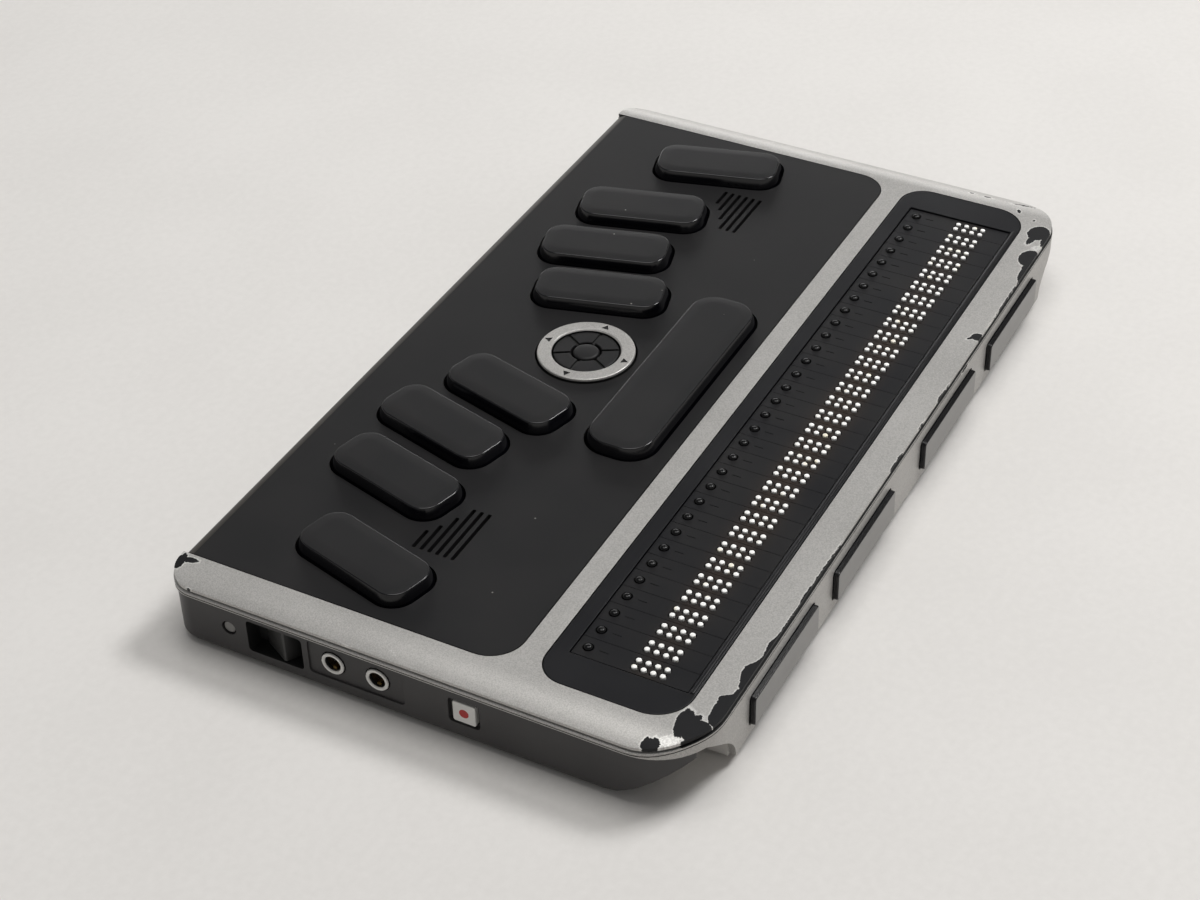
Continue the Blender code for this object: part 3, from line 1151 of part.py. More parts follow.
def make_navigation():
    """The tilting arrow ring on its gimbal, with the scroll wheel and the select button inside."""
    place = Matrix.Translation((0, RING_Y, 0))
    top = CASE_TOP + RING_RISE
    ring = [
        (RING_INNER, top),
        (RING_OUTER - RING_EDGE, top),
        (RING_OUTER, top - RING_EDGE),
        (RING_OUTER, RING_FLANGE_TOP),
        (RING_OUTER + RING_FLANGE, RING_FLANGE_TOP),
        (RING_OUTER + RING_FLANGE, RING_BOTTOM),
        (GIMBAL_OUTER + KEY_SLACK, RING_BOTTOM),
        (GIMBAL_OUTER + KEY_SLACK, RING_STEP),
        (RING_INNER, RING_STEP),
    ]
    turned("arrow_ring", ring, SILVER_PAINT, place)
    gimbal = turned("ring_gimbal", hoop(GIMBAL_INNER, GIMBAL_OUTER, RING_BOTTOM, GIMBAL_TOP), METAL, place)
    reach = KEY_SLACK - SEAT_GAP
    pins = []
    for side in (-1, 1):
        ends = sorted((side * (GIMBAL_INNER + GIMBAL_PIN), side * (GIMBAL_INNER - reach)))
        pins.append((*ends, -GIMBAL_PIN, GIMBAL_PIN, PIVOT_Z - GIMBAL_PIN, PIVOT_Z + GIMBAL_PIN))
        ends = sorted((side * (GIMBAL_OUTER - GIMBAL_PIN), side * (GIMBAL_OUTER + reach)))
        pins.append((-GIMBAL_PIN, GIMBAL_PIN, *ends, PIVOT_Z - GIMBAL_PIN, PIVOT_Z + GIMBAL_PIN))
    join(gimbal, block("gimbal_pins", pins, None, place))
    top = WHEEL_TOP
    wheel = [
        (WHEEL_BORE, top),
        (WHEEL_RADIUS - WHEEL_GROOVE_DEPTH, top),
        (WHEEL_RADIUS, top - WHEEL_GROOVE_DEPTH),
        (WHEEL_RADIUS, WHEEL_BOTTOM),
        (WHEEL_SLEEVE, WHEEL_BOTTOM),
        (WHEEL_SLEEVE, WHEEL_SLEEVE_BOTTOM),
        (WHEEL_BORE, WHEEL_SLEEVE_BOTTOM),
    ]
    wheel = turned("scroll_wheel", wheel, SOFT_BLACK, place)
    for i in range(WHEEL_GROOVE_COUNT // 2):
        turn = place @ Matrix.Rotation(2 * math.pi * i / WHEEL_GROOVE_COUNT, 4, "Z")
        reach = WHEEL_RADIUS + OVERRUN
        half = WHEEL_GROOVE_WIDTH / 2
        groove = (-reach, reach, -half, half, top - WHEEL_GROOVE_DEPTH, top + OVERRUN)
        cut(wheel, block(f"wheel_groove_{i + 1}", [groove], None, turn))
    encoder = hoop(ENCODER_INNER, ENCODER_OUTER, KEY_BOARD_TOP + SEAT_GAP, ENCODER_TOP)
    turned("scroll_encoder", encoder, METAL, place, MIDDLE_ROUND_STEPS)
    top = CASE_TOP + SELECT_RISE
    flange_top = WHEEL_SLEEVE_BOTTOM - SEAT_GAP
    button = [
        (0, top),
        (SELECT_RADIUS - RING_EDGE * 2, top - RING_EDGE / 4),
        (SELECT_RADIUS, top - RING_EDGE * 2),
        (SELECT_RADIUS, flange_top),
        (SELECT_RADIUS + SELECT_FLANGE, flange_top),
        (SELECT_RADIUS + SELECT_FLANGE, flange_top - SELECT_FLANGE_THICKNESS),
        (0, flange_top - SELECT_FLANGE_THICKNESS),
    ]
    turned("select_button", button, SOFT_BLACK, place, MIDDLE_ROUND_STEPS)


def hoop(inner, outer, z_low, z_high):
    return [(inner, z_high), (outer, z_high), (outer, z_low), (inner, z_low)]


def make_thumb_keys():
    front = -CASE_FRONT + THUMB_PROUD
    flange_front = -CASE_FRONT - RIM_THICKNESS - SEAT_GAP
    levels = (
        (THUMB_FLANGE, flange_front - THUMB_FLANGE_THICKNESS),
        (THUMB_FLANGE, flange_front),
        (0, flange_front),
        (0, front - THUMB_SLACK),
        (-THUMB_SLACK, front),
    )
    outlines = [pill(THUMB_WIDTH, THUMB_HEIGHT, THUMB_CORNER, grow, SHORT_CORNER_STEPS) for grow, y in levels]
    sections = [(outline, y) for outline, (grow, y) in zip(outlines, levels)]
    for i, x in enumerate(THUMB_PLACES):
        place = Matrix.Translation((x, 0, THUMB_Z)) @ FACING_FRONT
        loft(f"thumb_key_{i + 1}", sections, THUMB_GREY, place)


def make_left_controls():
    for name, y in JACK_PLACES.items():
        depth, width, height = JACK_BODY
        low = -INNER_WALL + SEAT_GAP
        half_y, half_z = width / 2, height / 2
        span = (low, low + depth, y - half_y, y + half_y, JACK_Z - half_z, JACK_Z + half_z)
        jack = block(name, [span], GLOSS_BLACK)
        nose = circle(JACK_NOSE, MIDDLE_ROUND_STEPS, (y, JACK_Z))
        join(jack, side_prism(name + "_nose", nose, -SIDE_WALL, low + depth / 2))
        bore = circle(JACK_BORE, SMALL_ROUND_STEPS, (y, JACK_Z))
        cut(jack, side_prism(name + "_bore", bore, -SIDE_WALL - OVERRUN, -SIDE_WALL + JACK_BORE_DEPTH))
    make_power_switch()
    flange_x = -INNER_WALL + SEAT_GAP
    tail_x = flange_x + SIDE_BUTTON_FLANGE
    face = RECORD_FACE
    record_levels = (
        (SIDE_BUTTON_FLANGE, -tail_x),
        (SIDE_BUTTON_FLANGE, -flange_x),
        (0, -flange_x),
        (0, SIDE_WALL - SEAT_GAP),
        (-SEAT_GAP, SIDE_WALL),
    )
    sections = [(pill(face, face, RECORD_CORNER, grow, SHORT_CORNER_STEPS), x) for grow, x in record_levels]
    loft("record_button", sections, RECORD_WHITE, Matrix.Translation((0, RECORD_Y, RECORD_Z)) @ FACING_LEFT)
    reset_levels = (
        (RESET_RADIUS + SIDE_BUTTON_FLANGE, -tail_x),
        (RESET_RADIUS + SIDE_BUTTON_FLANGE, -flange_x),
        (RESET_RADIUS, -flange_x),
        (RESET_RADIUS, SIDE_WALL - SEAT_GAP),
    )
    sections = [(circle(radius), x) for radius, x in reset_levels]
    loft("reset_button", sections, TRAY_BLACK, Matrix.Translation((0, RESET_Y, RESET_Z)) @ FACING_LEFT)


# Turns an outline drawn in Y and Z so that its thickness runs out through the left side
FACING_LEFT = Matrix(((0, 0, -1, 0), (-1, 0, 0, 0), (0, 1, 0, 0), (0, 0, 0, 1)))


def make_power_switch():
    """A knob with a ridge, which slides in its well on a stem through the well's floor."""
    floor_x = -SIDE_WALL + SWITCH_WELL_DEPTH
    base_x = floor_x - SEAT_GAP
    shelf_x = base_x - SWITCH_KNOB_BASE
    tip_x = -SIDE_WALL + SEAT_GAP
    half = SWITCH_KNOB_LENGTH / 2
    ridge = half / 3
    outline = [
        (base_x, SWITCH_Y - half),
        (base_x, SWITCH_Y + half),
        (shelf_x, SWITCH_Y + half),
        (tip_x, SWITCH_Y - ridge),
        (tip_x, SWITCH_Y - ridge * 2),
        (shelf_x, SWITCH_Y - half),
    ]
    half_z = SWITCH_WELL[1] / 2 - SEAT_GAP
    knob = plate("power_switch", outline, SWITCH_Z - half_z, SWITCH_Z + half_z, GLOSS_BLACK)
    half_y = SWITCH_STEM[0] / 2
    half_z = SWITCH_STEM[1] / 2
    inner = floor_x + SWITCH_WELL_WALL + SWITCH_STEM_REACH
    low, high = SWITCH_Z - half_z, SWITCH_Z + half_z
    stem = (base_x - SWITCH_KNOB_BASE / 2, inner, SWITCH_Y - half_y, SWITCH_Y + half_y, low, high)
    return join(knob, block("switch_stem", [stem]))


def make_boards():
    span = (*KEY_BOARD_SPAN, KEY_BOARD_BOTTOM, KEY_BOARD_TOP)
    board = block("keyboard_board", [span], BOARD_GREEN)
    spots = list(KEY_PLACES.values()) + [(side * SPACE_LENGTH / 4, SPACE_Y) for side in (-1, 1)]
    half = TACT_SIDE / 2
    low = KEY_BOARD_TOP - BOARD_THICKNESS / 2
    high = KEY_BOARD_TOP + TACT_HEIGHT
    switches = [(x - half, x + half, y - half, y + half, low, high) for x, y in spots]
    join(board, block("key_switches", switches))

    span = (*MAIN_BOARD_SPAN, MAIN_BOARD_BOTTOM, MAIN_BOARD_TOP)
    board = block("main_board", [span], BOARD_GREEN)
    low, high = MAIN_BOARD_BOTTOM - OVERRUN, MAIN_BOARD_TOP + OVERRUN
    bay = (DOOR_SPAN[0], DOOR_SPAN[1], DOOR_SPAN[2] - OVERRUN, DOOR_SPAN[3], low, high)
    half = LATCH_WIDTH / 2 + SEAT_GAP * 2
    notch = (-half, half, 0, LATCH_SPAN[1] + LATCH_TRAVEL + SEAT_GAP * 2, low, high)
    well_inner = -SIDE_WALL + SWITCH_WELL_DEPTH + SWITCH_WELL_WALL + SEAT_GAP
    half = SWITCH_WELL[0] / 2 + SWITCH_WELL_WALL + SEAT_GAP
    switch_notch = (-HALF_WIDTH, well_inner, SWITCH_Y - half, SWITCH_Y + half, low, high)
    for name, cutter in (("board_bay", bay), ("latch_notch", notch), ("switch_notch", switch_notch)):
        cut(board, block(name, [cutter]))
    cut(board, pegs("board_post_holes", SCREW_PLACES.values(), low, high, SCREW_POST + SEAT_GAP))

    span = (*BACKPLANE_SPAN, BACKPLANE_BOTTOM, BACKPLANE_BOTTOM + BOARD_THICKNESS)
    block("cell_backplane", [span], BOARD_GREEN)

    pressed = CASE_FRONT + RIM_THICKNESS + SEAT_GAP + THUMB_FLANGE_THICKNESS + THUMB_TRAVEL
    face = pressed + SEAT_GAP + TACT_HEIGHT - SEAT_GAP
    half = THUMB_HALF_SPAN + THUMB_BOARD_MARGIN
    span = (-half, half, face, face + THUMB_BOARD_THICKNESS, FLOOR_TOP + SEAT_GAP, THUMB_BOARD_TOP)
    board = block("thumb_key_board", [span], BOARD_GREEN)
    half = TACT_SIDE / 2
    front = pressed + SEAT_GAP
    back = face + THUMB_BOARD_THICKNESS / 2
    spots = [(x - half, x + half, front, back, THUMB_Z - half, THUMB_Z + half) for x in THUMB_PLACES]
    join(board, block("thumb_switches", spots))


def make_speakers():
    for side, name in ((-1, "left_speaker"), (1, "right_speaker")):
        half_x, half_y = SPEAKER_LENGTH / 2, SPEAKER_WIDTH / 2
        x = side * SPEAKER_X
        low, high = SPEAKER_Y - half_y, SPEAKER_Y + half_y
        outline = rounded(x - half_x, x + half_x, low, high, (SPEAKER_CORNER,) * 4, SHORT_CORNER_STEPS)
        plate(name, outline, DECK_BOTTOM - SEAT_GAP - SPEAKER_HEIGHT, DECK_BOTTOM - SEAT_GAP, GLOSS_BLACK)


def make_battery():
    half = BATTERY_LENGTH / 2
    outline = rounded(-half, half, BATTERY_FRONT, BATTERY_BACK, (SMALL_CORNER,) * 4, SHORT_CORNER_STEPS)
    plate("battery_pack", outline, BATTERY_BOTTOM, BATTERY_TOP, BATTERY_GREY)
    door = block("battery_cover", [(*DOOR_SPAN, CASE_BOTTOM, DOOR_TOP)], TRAY_BLACK)
    tab_top = FLOOR_TOP + SEAT_GAP + DOOR_TAB_THICKNESS
    edge = DOOR_FRONT
    risers = []
    hooks = []
    for side in (-1, 1):
        low = (side * DOOR_TAB_SPACING - DOOR_TAB_WIDTH) / 2
        high = low + DOOR_TAB_WIDTH
        risers.append((low, high, edge, edge + DOOR_TAB_THICKNESS, DOOR_TOP - DOOR_THICKNESS / 2, tab_top))
        back = edge + DOOR_TAB_THICKNESS
        hooks.append((low, high, edge - DOOR_TAB_REACH, back, FLOOR_TOP + SEAT_GAP, tab_top))
    join(door, block("door_risers", risers), block("door_hooks", hooks))
    half = LATCH_WIDTH / 2
    low = FLOOR_TOP + SEAT_GAP
    latch = block("battery_latch", [(-half, half, *LATCH_SPAN, low, low + LATCH_THICKNESS)], TRAY_BLACK)
    half_x, half_y = (size / 2 for size in LATCH_KNOB)
    bottom = CASE_BOTTOM + SEAT_GAP
    knob = (-half_x, half_x, LATCH_KNOB_Y - half_y, LATCH_KNOB_Y + half_y, bottom, low + LATCH_THICKNESS / 2)
    join(latch, block("latch_knob", [knob]))


def make_feet_and_screws():
    for name, (x, y) in FOOT_PLACES.items():
        top = CASE_BOTTOM + FOOT_SUNK - SEAT_GAP
        place = Matrix.Translation((x, y, 0))
        profile = [(0, top), (FOOT_RADIUS, top), (FOOT_RADIUS, SEAT_GAP), (FOOT_RADIUS - SEAT_GAP, 0), (0, 0)]
        turned(name, profile, SOFT_RUBBER, place, MIDDLE_ROUND_STEPS)
    low = CASE_BOTTOM + SCREW_SUNK
    high = low + SCREW_HEAD_HEIGHT
    for name, (x, y) in SCREW_PLACES.items():
        place = Matrix.Translation((x, y, 0))
        shank = [(0, SCREW_TIP), (SCREW_SHANK, SCREW_TIP), (SCREW_SHANK, high)]
        profile = shank + [(SCREW_HEAD, high), (SCREW_HEAD, low), (0, low)]
        turned(name, profile, METAL, place, SMALL_ROUND_STEPS)


def make_ports():
    depth, width, height = USB_HOST_SHELL
    face = SIDE_WALL - PORT_SUNK
    y, z = USB_HOST_Y, PORT_BOTTOM + height / 2
    span = (face - depth, face, y - width / 2, y + width / 2, z - height / 2, z + height / 2)
    shell = block("usb_host_port", [span], METAL)
    wall = USB_HOST_WALL
    back = face - depth + USB_HOST_END
    half_y, half_z = width / 2 - wall, height / 2 - wall
    mouth = (back, face + OVERRUN, y - half_y, y + half_y, z - half_z, z + half_z)
    length, span, thick = USB_HOST_TONGUE
    hollow = cut(
        block("usb_host_mouth", [mouth]),
        block(
            "usb_host_tongue",
            [(back - wall, back + length, y - span / 2, y + span / 2, z - thick / 2, z + thick / 2)],
        ),
    )
    cut(shell, hollow)

    depth, width, height = CARD_SHELL
    y, z = CARD_Y, PORT_BOTTOM + height / 2
    span = (face - depth, face, y - width / 2, y + width / 2, z - height / 2, z + height / 2)
    shell = block("card_slot", [span], METAL)
    half_y, half_z = (size / 2 for size in CARD_MOUTH)
    mouth = (face - CARD_DEPTH, face + OVERRUN, y - half_y, y + half_y, z - half_z, z + half_z)
    cut(shell, block("card_mouth", [mouth]))

    width, depth, height = INLET_SHELL
    face = BACK_WALL - PORT_SUNK
    x, z = INLET_X, PORT_BOTTOM + height / 2
    span = (x - width / 2, x + width / 2, face - depth, face, z - height / 2, z + height / 2)
    shell = block("power_inlet", [span], GLOSS_BLACK)
    mouth = circle(INLET_BORE, MIDDLE_ROUND_STEPS, (x, z))
    bore = front_prism("inlet_bore", mouth, face - INLET_DEPTH, face + OVERRUN)
    pin = circle(INLET_PIN, SMALL_ROUND_STEPS, (x, z))
    cut(bore, front_prism("inlet_pin", pin, face - depth, face - INLET_PIN_SUNK))
    cut(shell, bore)

    width, depth, height = USB_DEVICE_SHELL
    x, z = USB_DEVICE_X, PORT_BOTTOM + height / 2
    span = (x - width / 2, x + width / 2, face - depth, face, z - height / 2, z + height / 2)
    shell = block("usb_device_port", [span], METAL)
    wall = USB_DEVICE_WALL
    half_x, half_z = width / 2 - wall, height / 2 - wall
    mouth = (x - half_x, x + half_x, face - USB_DEVICE_DEPTH, face + OVERRUN, z - half_z, z + half_z)
    cut(shell, block("usb_device_mouth", [mouth]))


def main():
    make_bottom_housing()
    make_rim_frame()
    make_top_cover()
    make_keyboard_panel()
    make_display_bezel()
    make_cell_caps()
    make_cell_block()
    make_combs()
    make_keys()
    make_navigation()
    make_thumb_keys()
    make_left_controls()
    make_boards()
    make_speakers()
    make_battery()
    make_feet_and_screws()
    make_ports()


main()
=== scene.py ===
import math

import bmesh
import bpy
from mathutils import Matrix, Vector


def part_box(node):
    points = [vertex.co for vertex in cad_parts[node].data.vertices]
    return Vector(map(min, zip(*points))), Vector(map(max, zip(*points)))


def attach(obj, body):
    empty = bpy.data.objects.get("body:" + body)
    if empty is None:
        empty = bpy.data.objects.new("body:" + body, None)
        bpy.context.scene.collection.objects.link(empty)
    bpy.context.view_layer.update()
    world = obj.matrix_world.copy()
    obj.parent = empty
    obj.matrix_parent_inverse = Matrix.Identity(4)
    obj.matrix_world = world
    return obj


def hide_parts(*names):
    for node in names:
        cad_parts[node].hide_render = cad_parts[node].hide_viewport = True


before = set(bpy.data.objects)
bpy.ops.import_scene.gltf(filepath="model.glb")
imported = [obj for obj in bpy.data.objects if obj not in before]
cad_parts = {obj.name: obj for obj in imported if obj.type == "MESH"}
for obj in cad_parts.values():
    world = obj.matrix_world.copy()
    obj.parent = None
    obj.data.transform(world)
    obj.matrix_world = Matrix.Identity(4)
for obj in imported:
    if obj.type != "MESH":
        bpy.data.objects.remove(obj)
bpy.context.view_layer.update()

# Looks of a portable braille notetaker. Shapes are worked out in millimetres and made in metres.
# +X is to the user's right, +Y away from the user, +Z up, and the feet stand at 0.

MM = 0.001
# How far cutters reach past what they cut, and how close two points of a form are the same
FAR, NEAR = 3, 1e-4

# Levels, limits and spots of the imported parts, in millimetres
HALF_WIDTH, FRONT, BACK = 122, -69.305, 70.705
FRONT_CORNER, BACK_CORNER = 17, 7
TOP, DECK_TOP, DECK_BOTTOM = 20, 17.9, 16.6
# The top frame's lip, the neck under it and the arc in which its sides fall
LIP_BOTTOM, LIP_INSET, NECK_INSET = TOP - 0.8, 0.3, 1.7
CROWN_START, CROWN_DROP = 113, 2.2
CROWN_LINES = [CROWN_START + i for i in range(9)]
PANEL_HALF, PANEL_FRONT = 112.6, -18.055
BEZEL_FRONT, BEZEL_BACK = -60.605, -24.605
# The braille line
CELLS_FRONT, CELLS_BACK, CELL_PITCH, CELL_COUNT, CELL_GROUP = -58.505, -29.005, 6.4, 32, 8
DOT_ROWS = (-51.305, -48.905, -46.505, -44.105)
DOT_SIDE = 1.2
ROUTER_ROW = -31.805
COMB_BAR = (17.0, 17.8)
CAP_TOP = 19.7
# The rim, the fine line in its side and the sweep of its lower edge
RIM_TOP, RIM_BAND, RIM_FOOT, RIM_WALL = TOP - 1.45, 15.4, 2.6, 1.7
LINE_LOW, LINE_HIGH, LINE_DEPTH = TOP - 2.18, TOP - 1.92, 0.15
SWEEP_START, SWEEP_WIDTH = 99.8, 12.2
THUMB_SPOTS = (-74.8, -27.8, 27.8, 74.8)
THUMB_LEVEL = 9.85
RING_Y = 21.495
SPACE_Y = -4.105
# A cap's length along X and along Y, and its corners' radius
KEY_SIZE = (14.8, 35, 5)
SPACE_SIZE = (70, 17.2, 6.5)
KEY_TURN = 15
KEY_SPOTS = {
    "key_backspace": (-96.89, 29.3),
    "key_dot_3": (-66.89, 38.9),
    "key_dot_2": (-44.6, 39.0),
    "key_dot_1": (-25.3, 30.5),
    "key_dot_4": (25.3, 30.5),
    "key_dot_5": (44.6, 39.0),
    "key_dot_6": (66.89, 38.9),
    "key_enter": (96.89, 29.3),
}
# Screws, posts and speaker slots
SCREW_SPOTS = [(x, y) for x in (-111, 111) for y in (-26.005, 57.005)]
BOSS_SPOTS = [(0, 46), (-78.5, 51.5), (78.5, 51.5), (-50, -8), (50, -8), (-96.9, -8), (96.9, -8)]
POST_BOTTOM = 12.3
SPEAKER_X = 78.04
SLOT_LENGTHS = (18.5, 18.5, 18.5, 14, 9.8, 6.8)
SLOT_END, SLOT_FRONT, SLOT_PITCH = 87.292, 11.195, 2.15
# The left side's face, measured from the middle, and where its fittings are along Y and Z
WALL = 121.5
JACK_SPOTS = {"headphone_jack": 23.905, "microphone_jack": 11.805}
JACK_LEVEL = 9.75
SWITCH_Y, SWITCH_LEVEL = 40.005, 9.1
RECORD_Y, RECORD_LEVEL = -11.395, 9.2
RESET_Y, RESET_LEVEL = 53.005, 9.3
BUTTON_FLANGE = (118.3, 119.2)
# The camera's focal length and the photograph's width, both in pixels
FOCAL_LENGTH, PHOTO_WIDTH = 2399.473, 1200
# The light of the room on things, and the pale tone of what the camera sees beyond the table
ROOM_LIGHT = (0.23, 0.23, 0.23)
PALE = (0.71, 0.69, 0.665)


class Wire:
    """A value on its way through a finish; arithmetic on it adds Math nodes."""

    def __init__(self, finish, socket):
        self.finish = finish
        self.socket = socket

    def maths(self, operation, *values):
        return self.finish.add("ShaderNodeMath", {"operation": operation}, dict(enumerate(values)))

    def __add__(self, other):
        return self.maths("ADD", self, other)

    def __radd__(self, other):
        return self.maths("ADD", other, self)

    def __sub__(self, other):
        return self.maths("SUBTRACT", self, other)

    def __rsub__(self, other):
        return self.maths("SUBTRACT", other, self)

    def __mul__(self, other):
        return self.maths("MULTIPLY", self, other)

    def __abs__(self):
        return self.maths("ABSOLUTE", self)

    def most(self, other):
        return self.maths("MAXIMUM", self, other)


class Finish:
    """A procedural finish: constants on its shader, and nodes for what varies over the surface."""

    def __init__(self, name, **constants):
        self.material = bpy.data.materials.new(name)
        self.material.use_nodes = True
        self.tree = self.material.node_tree
        self.shader = self.tree.nodes["Principled BSDF"]
        for label, value in constants.items():
            self.feed(self.shader.inputs[label.replace("_", " ")], value)
        self.spot = self.add("ShaderNodeTexCoord", out="Object")

    def add(self, kind, settings=None, inputs=None, out=0):
        """One node: its settings, then its inputs by place or name, and the wire from one output."""
        node = self.tree.nodes.new(kind)
        for label, value in (settings or {}).items():
            if label == "stops":
                marks = node.color_ramp.elements
                for place, level in value[1:-1]:
                    marks.new(place)
                for mark, (place, level) in zip(marks, value):
                    mark.position = place
                    mark.color = (level, level, level, 1)
            else:
                setattr(node, label, value)
        for label, value in (inputs or {}).items():
            self.feed(node.inputs[label], value)
        return Wire(self, node.outputs[out])

    def feed(self, socket, value):
        if isinstance(value, Wire):
            self.tree.links.new(value.socket, socket)
        elif isinstance(value, tuple) and socket.type == "RGBA":
            socket.default_value = (*value, 1)
        else:
            socket.default_value = value

    def set(self, label, value):
        self.feed(self.shader.inputs[label], value)

    def noise(self, size, detail=2, stretch=(1, 1, 1)):
        """Smooth noise from 0 to 1, with grains about so many millimetres across."""
        place = self.add("ShaderNodeMapping", None, {"Vector": self.spot, "Scale": stretch})
        inputs = {"Vector": place, "Scale": 1 / (size * MM), "Detail": detail}
        return self.add("ShaderNodeTexNoise", None, inputs)

    def specks(self, size, share):
        """Small round specks: 1 at the middle of a few of the cells of a random pattern."""
        inputs = {"Vector": self.spot, "Scale": 1 / (size * MM)}
        cells = self.add("ShaderNodeTexVoronoi", {"feature": "F1"}, inputs)
        chosen = self.add("ShaderNodeSeparateColor", None, {0: self.wire_of(cells, 1)})
        return self.step(cells, 0.09, 0.04) * self.step(chosen, 1 - share, 1 - share + 0.002)

    def wire_of(self, wire, out):
        """Another output of the node that a wire comes from."""
        return Wire(self, wire.socket.node.outputs[out])

    def step(self, value, low, high):
        """0 below one level and 1 past another, which may be the lower one."""
        inputs = {0: value, 1: low, 2: high, 3: 0.0, 4: 1.0}
        return self.add("ShaderNodeMapRange", {"interpolation_type": "SMOOTHSTEP"}, inputs)

    def tint(self, mask, plain, other):
        """One colour where the mask is 0 and another where it is 1."""
        return self.add("ShaderNodeMix", {"data_type": "RGBA"}, {0: mask, 6: plain, 7: other}, 2)

    def bump(self, height, depth, strength=1.0):
        """Raises the surface by a height from 0 to 1, as deep as so many millimetres."""
        inputs = {"Strength": strength, "Distance": depth * MM, "Height": height}
        self.set("Normal", self.add("ShaderNodeBump", None, inputs))

    def axis(self, letter):
        """The surface's X, Y or Z in millimetres."""
        return self.add("ShaderNodeSeparateXYZ", None, {0: self.spot}, "XYZ".index(letter)) * (1 / MM)

    def inside(self, centre, size, turn=0):
        """How many millimetres inside a blob's edge a place is, and below 0 outside it."""
        inputs = {
            "Vector": self.spot,
            "Location": tuple(c * MM for c in centre),
            "Rotation": (0, 0, math.radians(turn)),
            "Scale": tuple(s * MM for s in size),
        }
        place = self.add("ShaderNodeMapping", {"vector_type": "TEXTURE"}, inputs)
        return (1 - self.add("ShaderNodeVectorMath", {"operation": "LENGTH"}, {0: place}, 1)) * min(size)

    def blobs(self, shapes):
        """How far inside the nearest of several blobs a place is."""
        depth = self.inside(*shapes[0])
        for shape in shapes[1:]:
            depth = depth.most(self.inside(*shape))
        return depth


def flat_spots(*spots):
    """Worn or rubbed spots of the top frame: centre, half width, half length and turn of each."""
    return [((x, y, z), (across, along, 9), angle) for x, y, z, across, along, angle in spots]


SILVER = (0.51, 0.498, 0.478)
SILVER_SHADE = (0.385, 0.375, 0.36)
# Pale for rubbed paint, and for the painted highlight along the edges of worn spots
SCUFF_AND_HIGHLIGHT_PALE = (0.80, 0.79, 0.76)
UNDER_PAINT = (0.007, 0.007, 0.008)
COVER_CHIPS = flat_spots(
    (-111.4, -62.0, 20, 4.6, 1.9, 8),
    (-112.6, -65.6, 20, 3.6, 3.5, -20),
    (-110.2, -63.2, 20, 1.1, 3.0, 52),
    (-115.8, -65.6, 20, 2.4, 1.0, -20),
    (-116.9, -65.4, 20, 2.3, 1.4, -28),
    (-119.7, -57.8, 19, 1.5, 2.2, 18),
    (-120.0, -57.0, 19, 1.7, 1.0, 18),
    (-119.3, -58.8, 19, 1.7, 1.0, 18),
    (-115.9, 69.4, 20, 2.4, 1.2, 0),
    (-114.9, 67.4, 20, 0.8, 2.1, 10),
    (105.5, -65.9, 20, 3.7, 3.0, -8),
    (101.7, -65.2, 20, 2.6, 1.0, -8),
    (103.2, -68.9, 20, 3.6, 1.3, 0),
    (92.6, -67.5, 20, 4.1, 2.5, 0),
    (85.5, -69.2, 20, 6.0, 1.5, 6),
    (72.5, -69.7, 20, 16, 0.8, 0),
    (51.6, -68.3, 20, 1.6, 1.8, 0),
    (50.3, -66.7, 20, 0.9, 0.5, -35),
    (114.1, -57.1, 20, 0.9, 0.5, 25),
    (111.1, -62.6, 20, 0.5, 0.4, 0),
    (118.6, -57.4, 19, 0.4, 3.2, 8),
    (118.2, -46.2, 19, 0.4, 1.1, 0),
    (118.2, -41.6, 19, 0.3, 0.8, 0),
    (-122.1, 19.2, 18, 0.25, 0.8, 0),
    (-122.1, 63.2, 18, 0.45, 0.7, 0),
)
COVER_SCUFFS = flat_spots(
    (-117.3, -61.4, 20, 1.6, 2.6, 30),
    (-109.5, -66.4, 20, 0.7, 2.9, 8),
    (-119.9, -61.9, 19, 0.6, 2.4, 12),
    (-119.9, 7.6, 19, 0.2, 0.9, -25),
    (98.2, -67.7, 20, 1.3, 1.4, 20),
)
# Width of the strip along the front edge where the paint is black, by place from left to right: worn through
# near the left corner, and thin dark marks further right
STRIP_ENDS = (-112, 32)
STRIP_WIDTHS = [
    (-112, 0), (-110.3, 0), (-109.4, 2.6), (-107.8, 3.6), (-103.4, 3.9), (-100.4, 4.1), (-98.6, 1.7),
    (-96.4, 1.4), (-92.4, 2.9), (-89.5, 3.1), (-86.9, 1.5), (-84.5, 1.0), (-80.3, 1.5), (-77.7, 0.9),
    (-73.4, 0.7), (-66, 0.75), (-60, 0.85), (-54, 0.8), (-42, 0.65), (-38, 0), (-13, 0), (-9, 0.8),
    (-3, 0.7), (0, 0), (6, 0), (10, 0.75), (15, 0), (18, 0), (22, 0.8), (28, 0.65), (31, 0),
]
STRIP_FULL = 5
RIM_CHIPS = [
    ((-66, -69.3, 3.1), (2.2, 3, 0.8), 0),
    ((40, -69.3, 17.8), (2.0, 3, 0.6), 0),
]


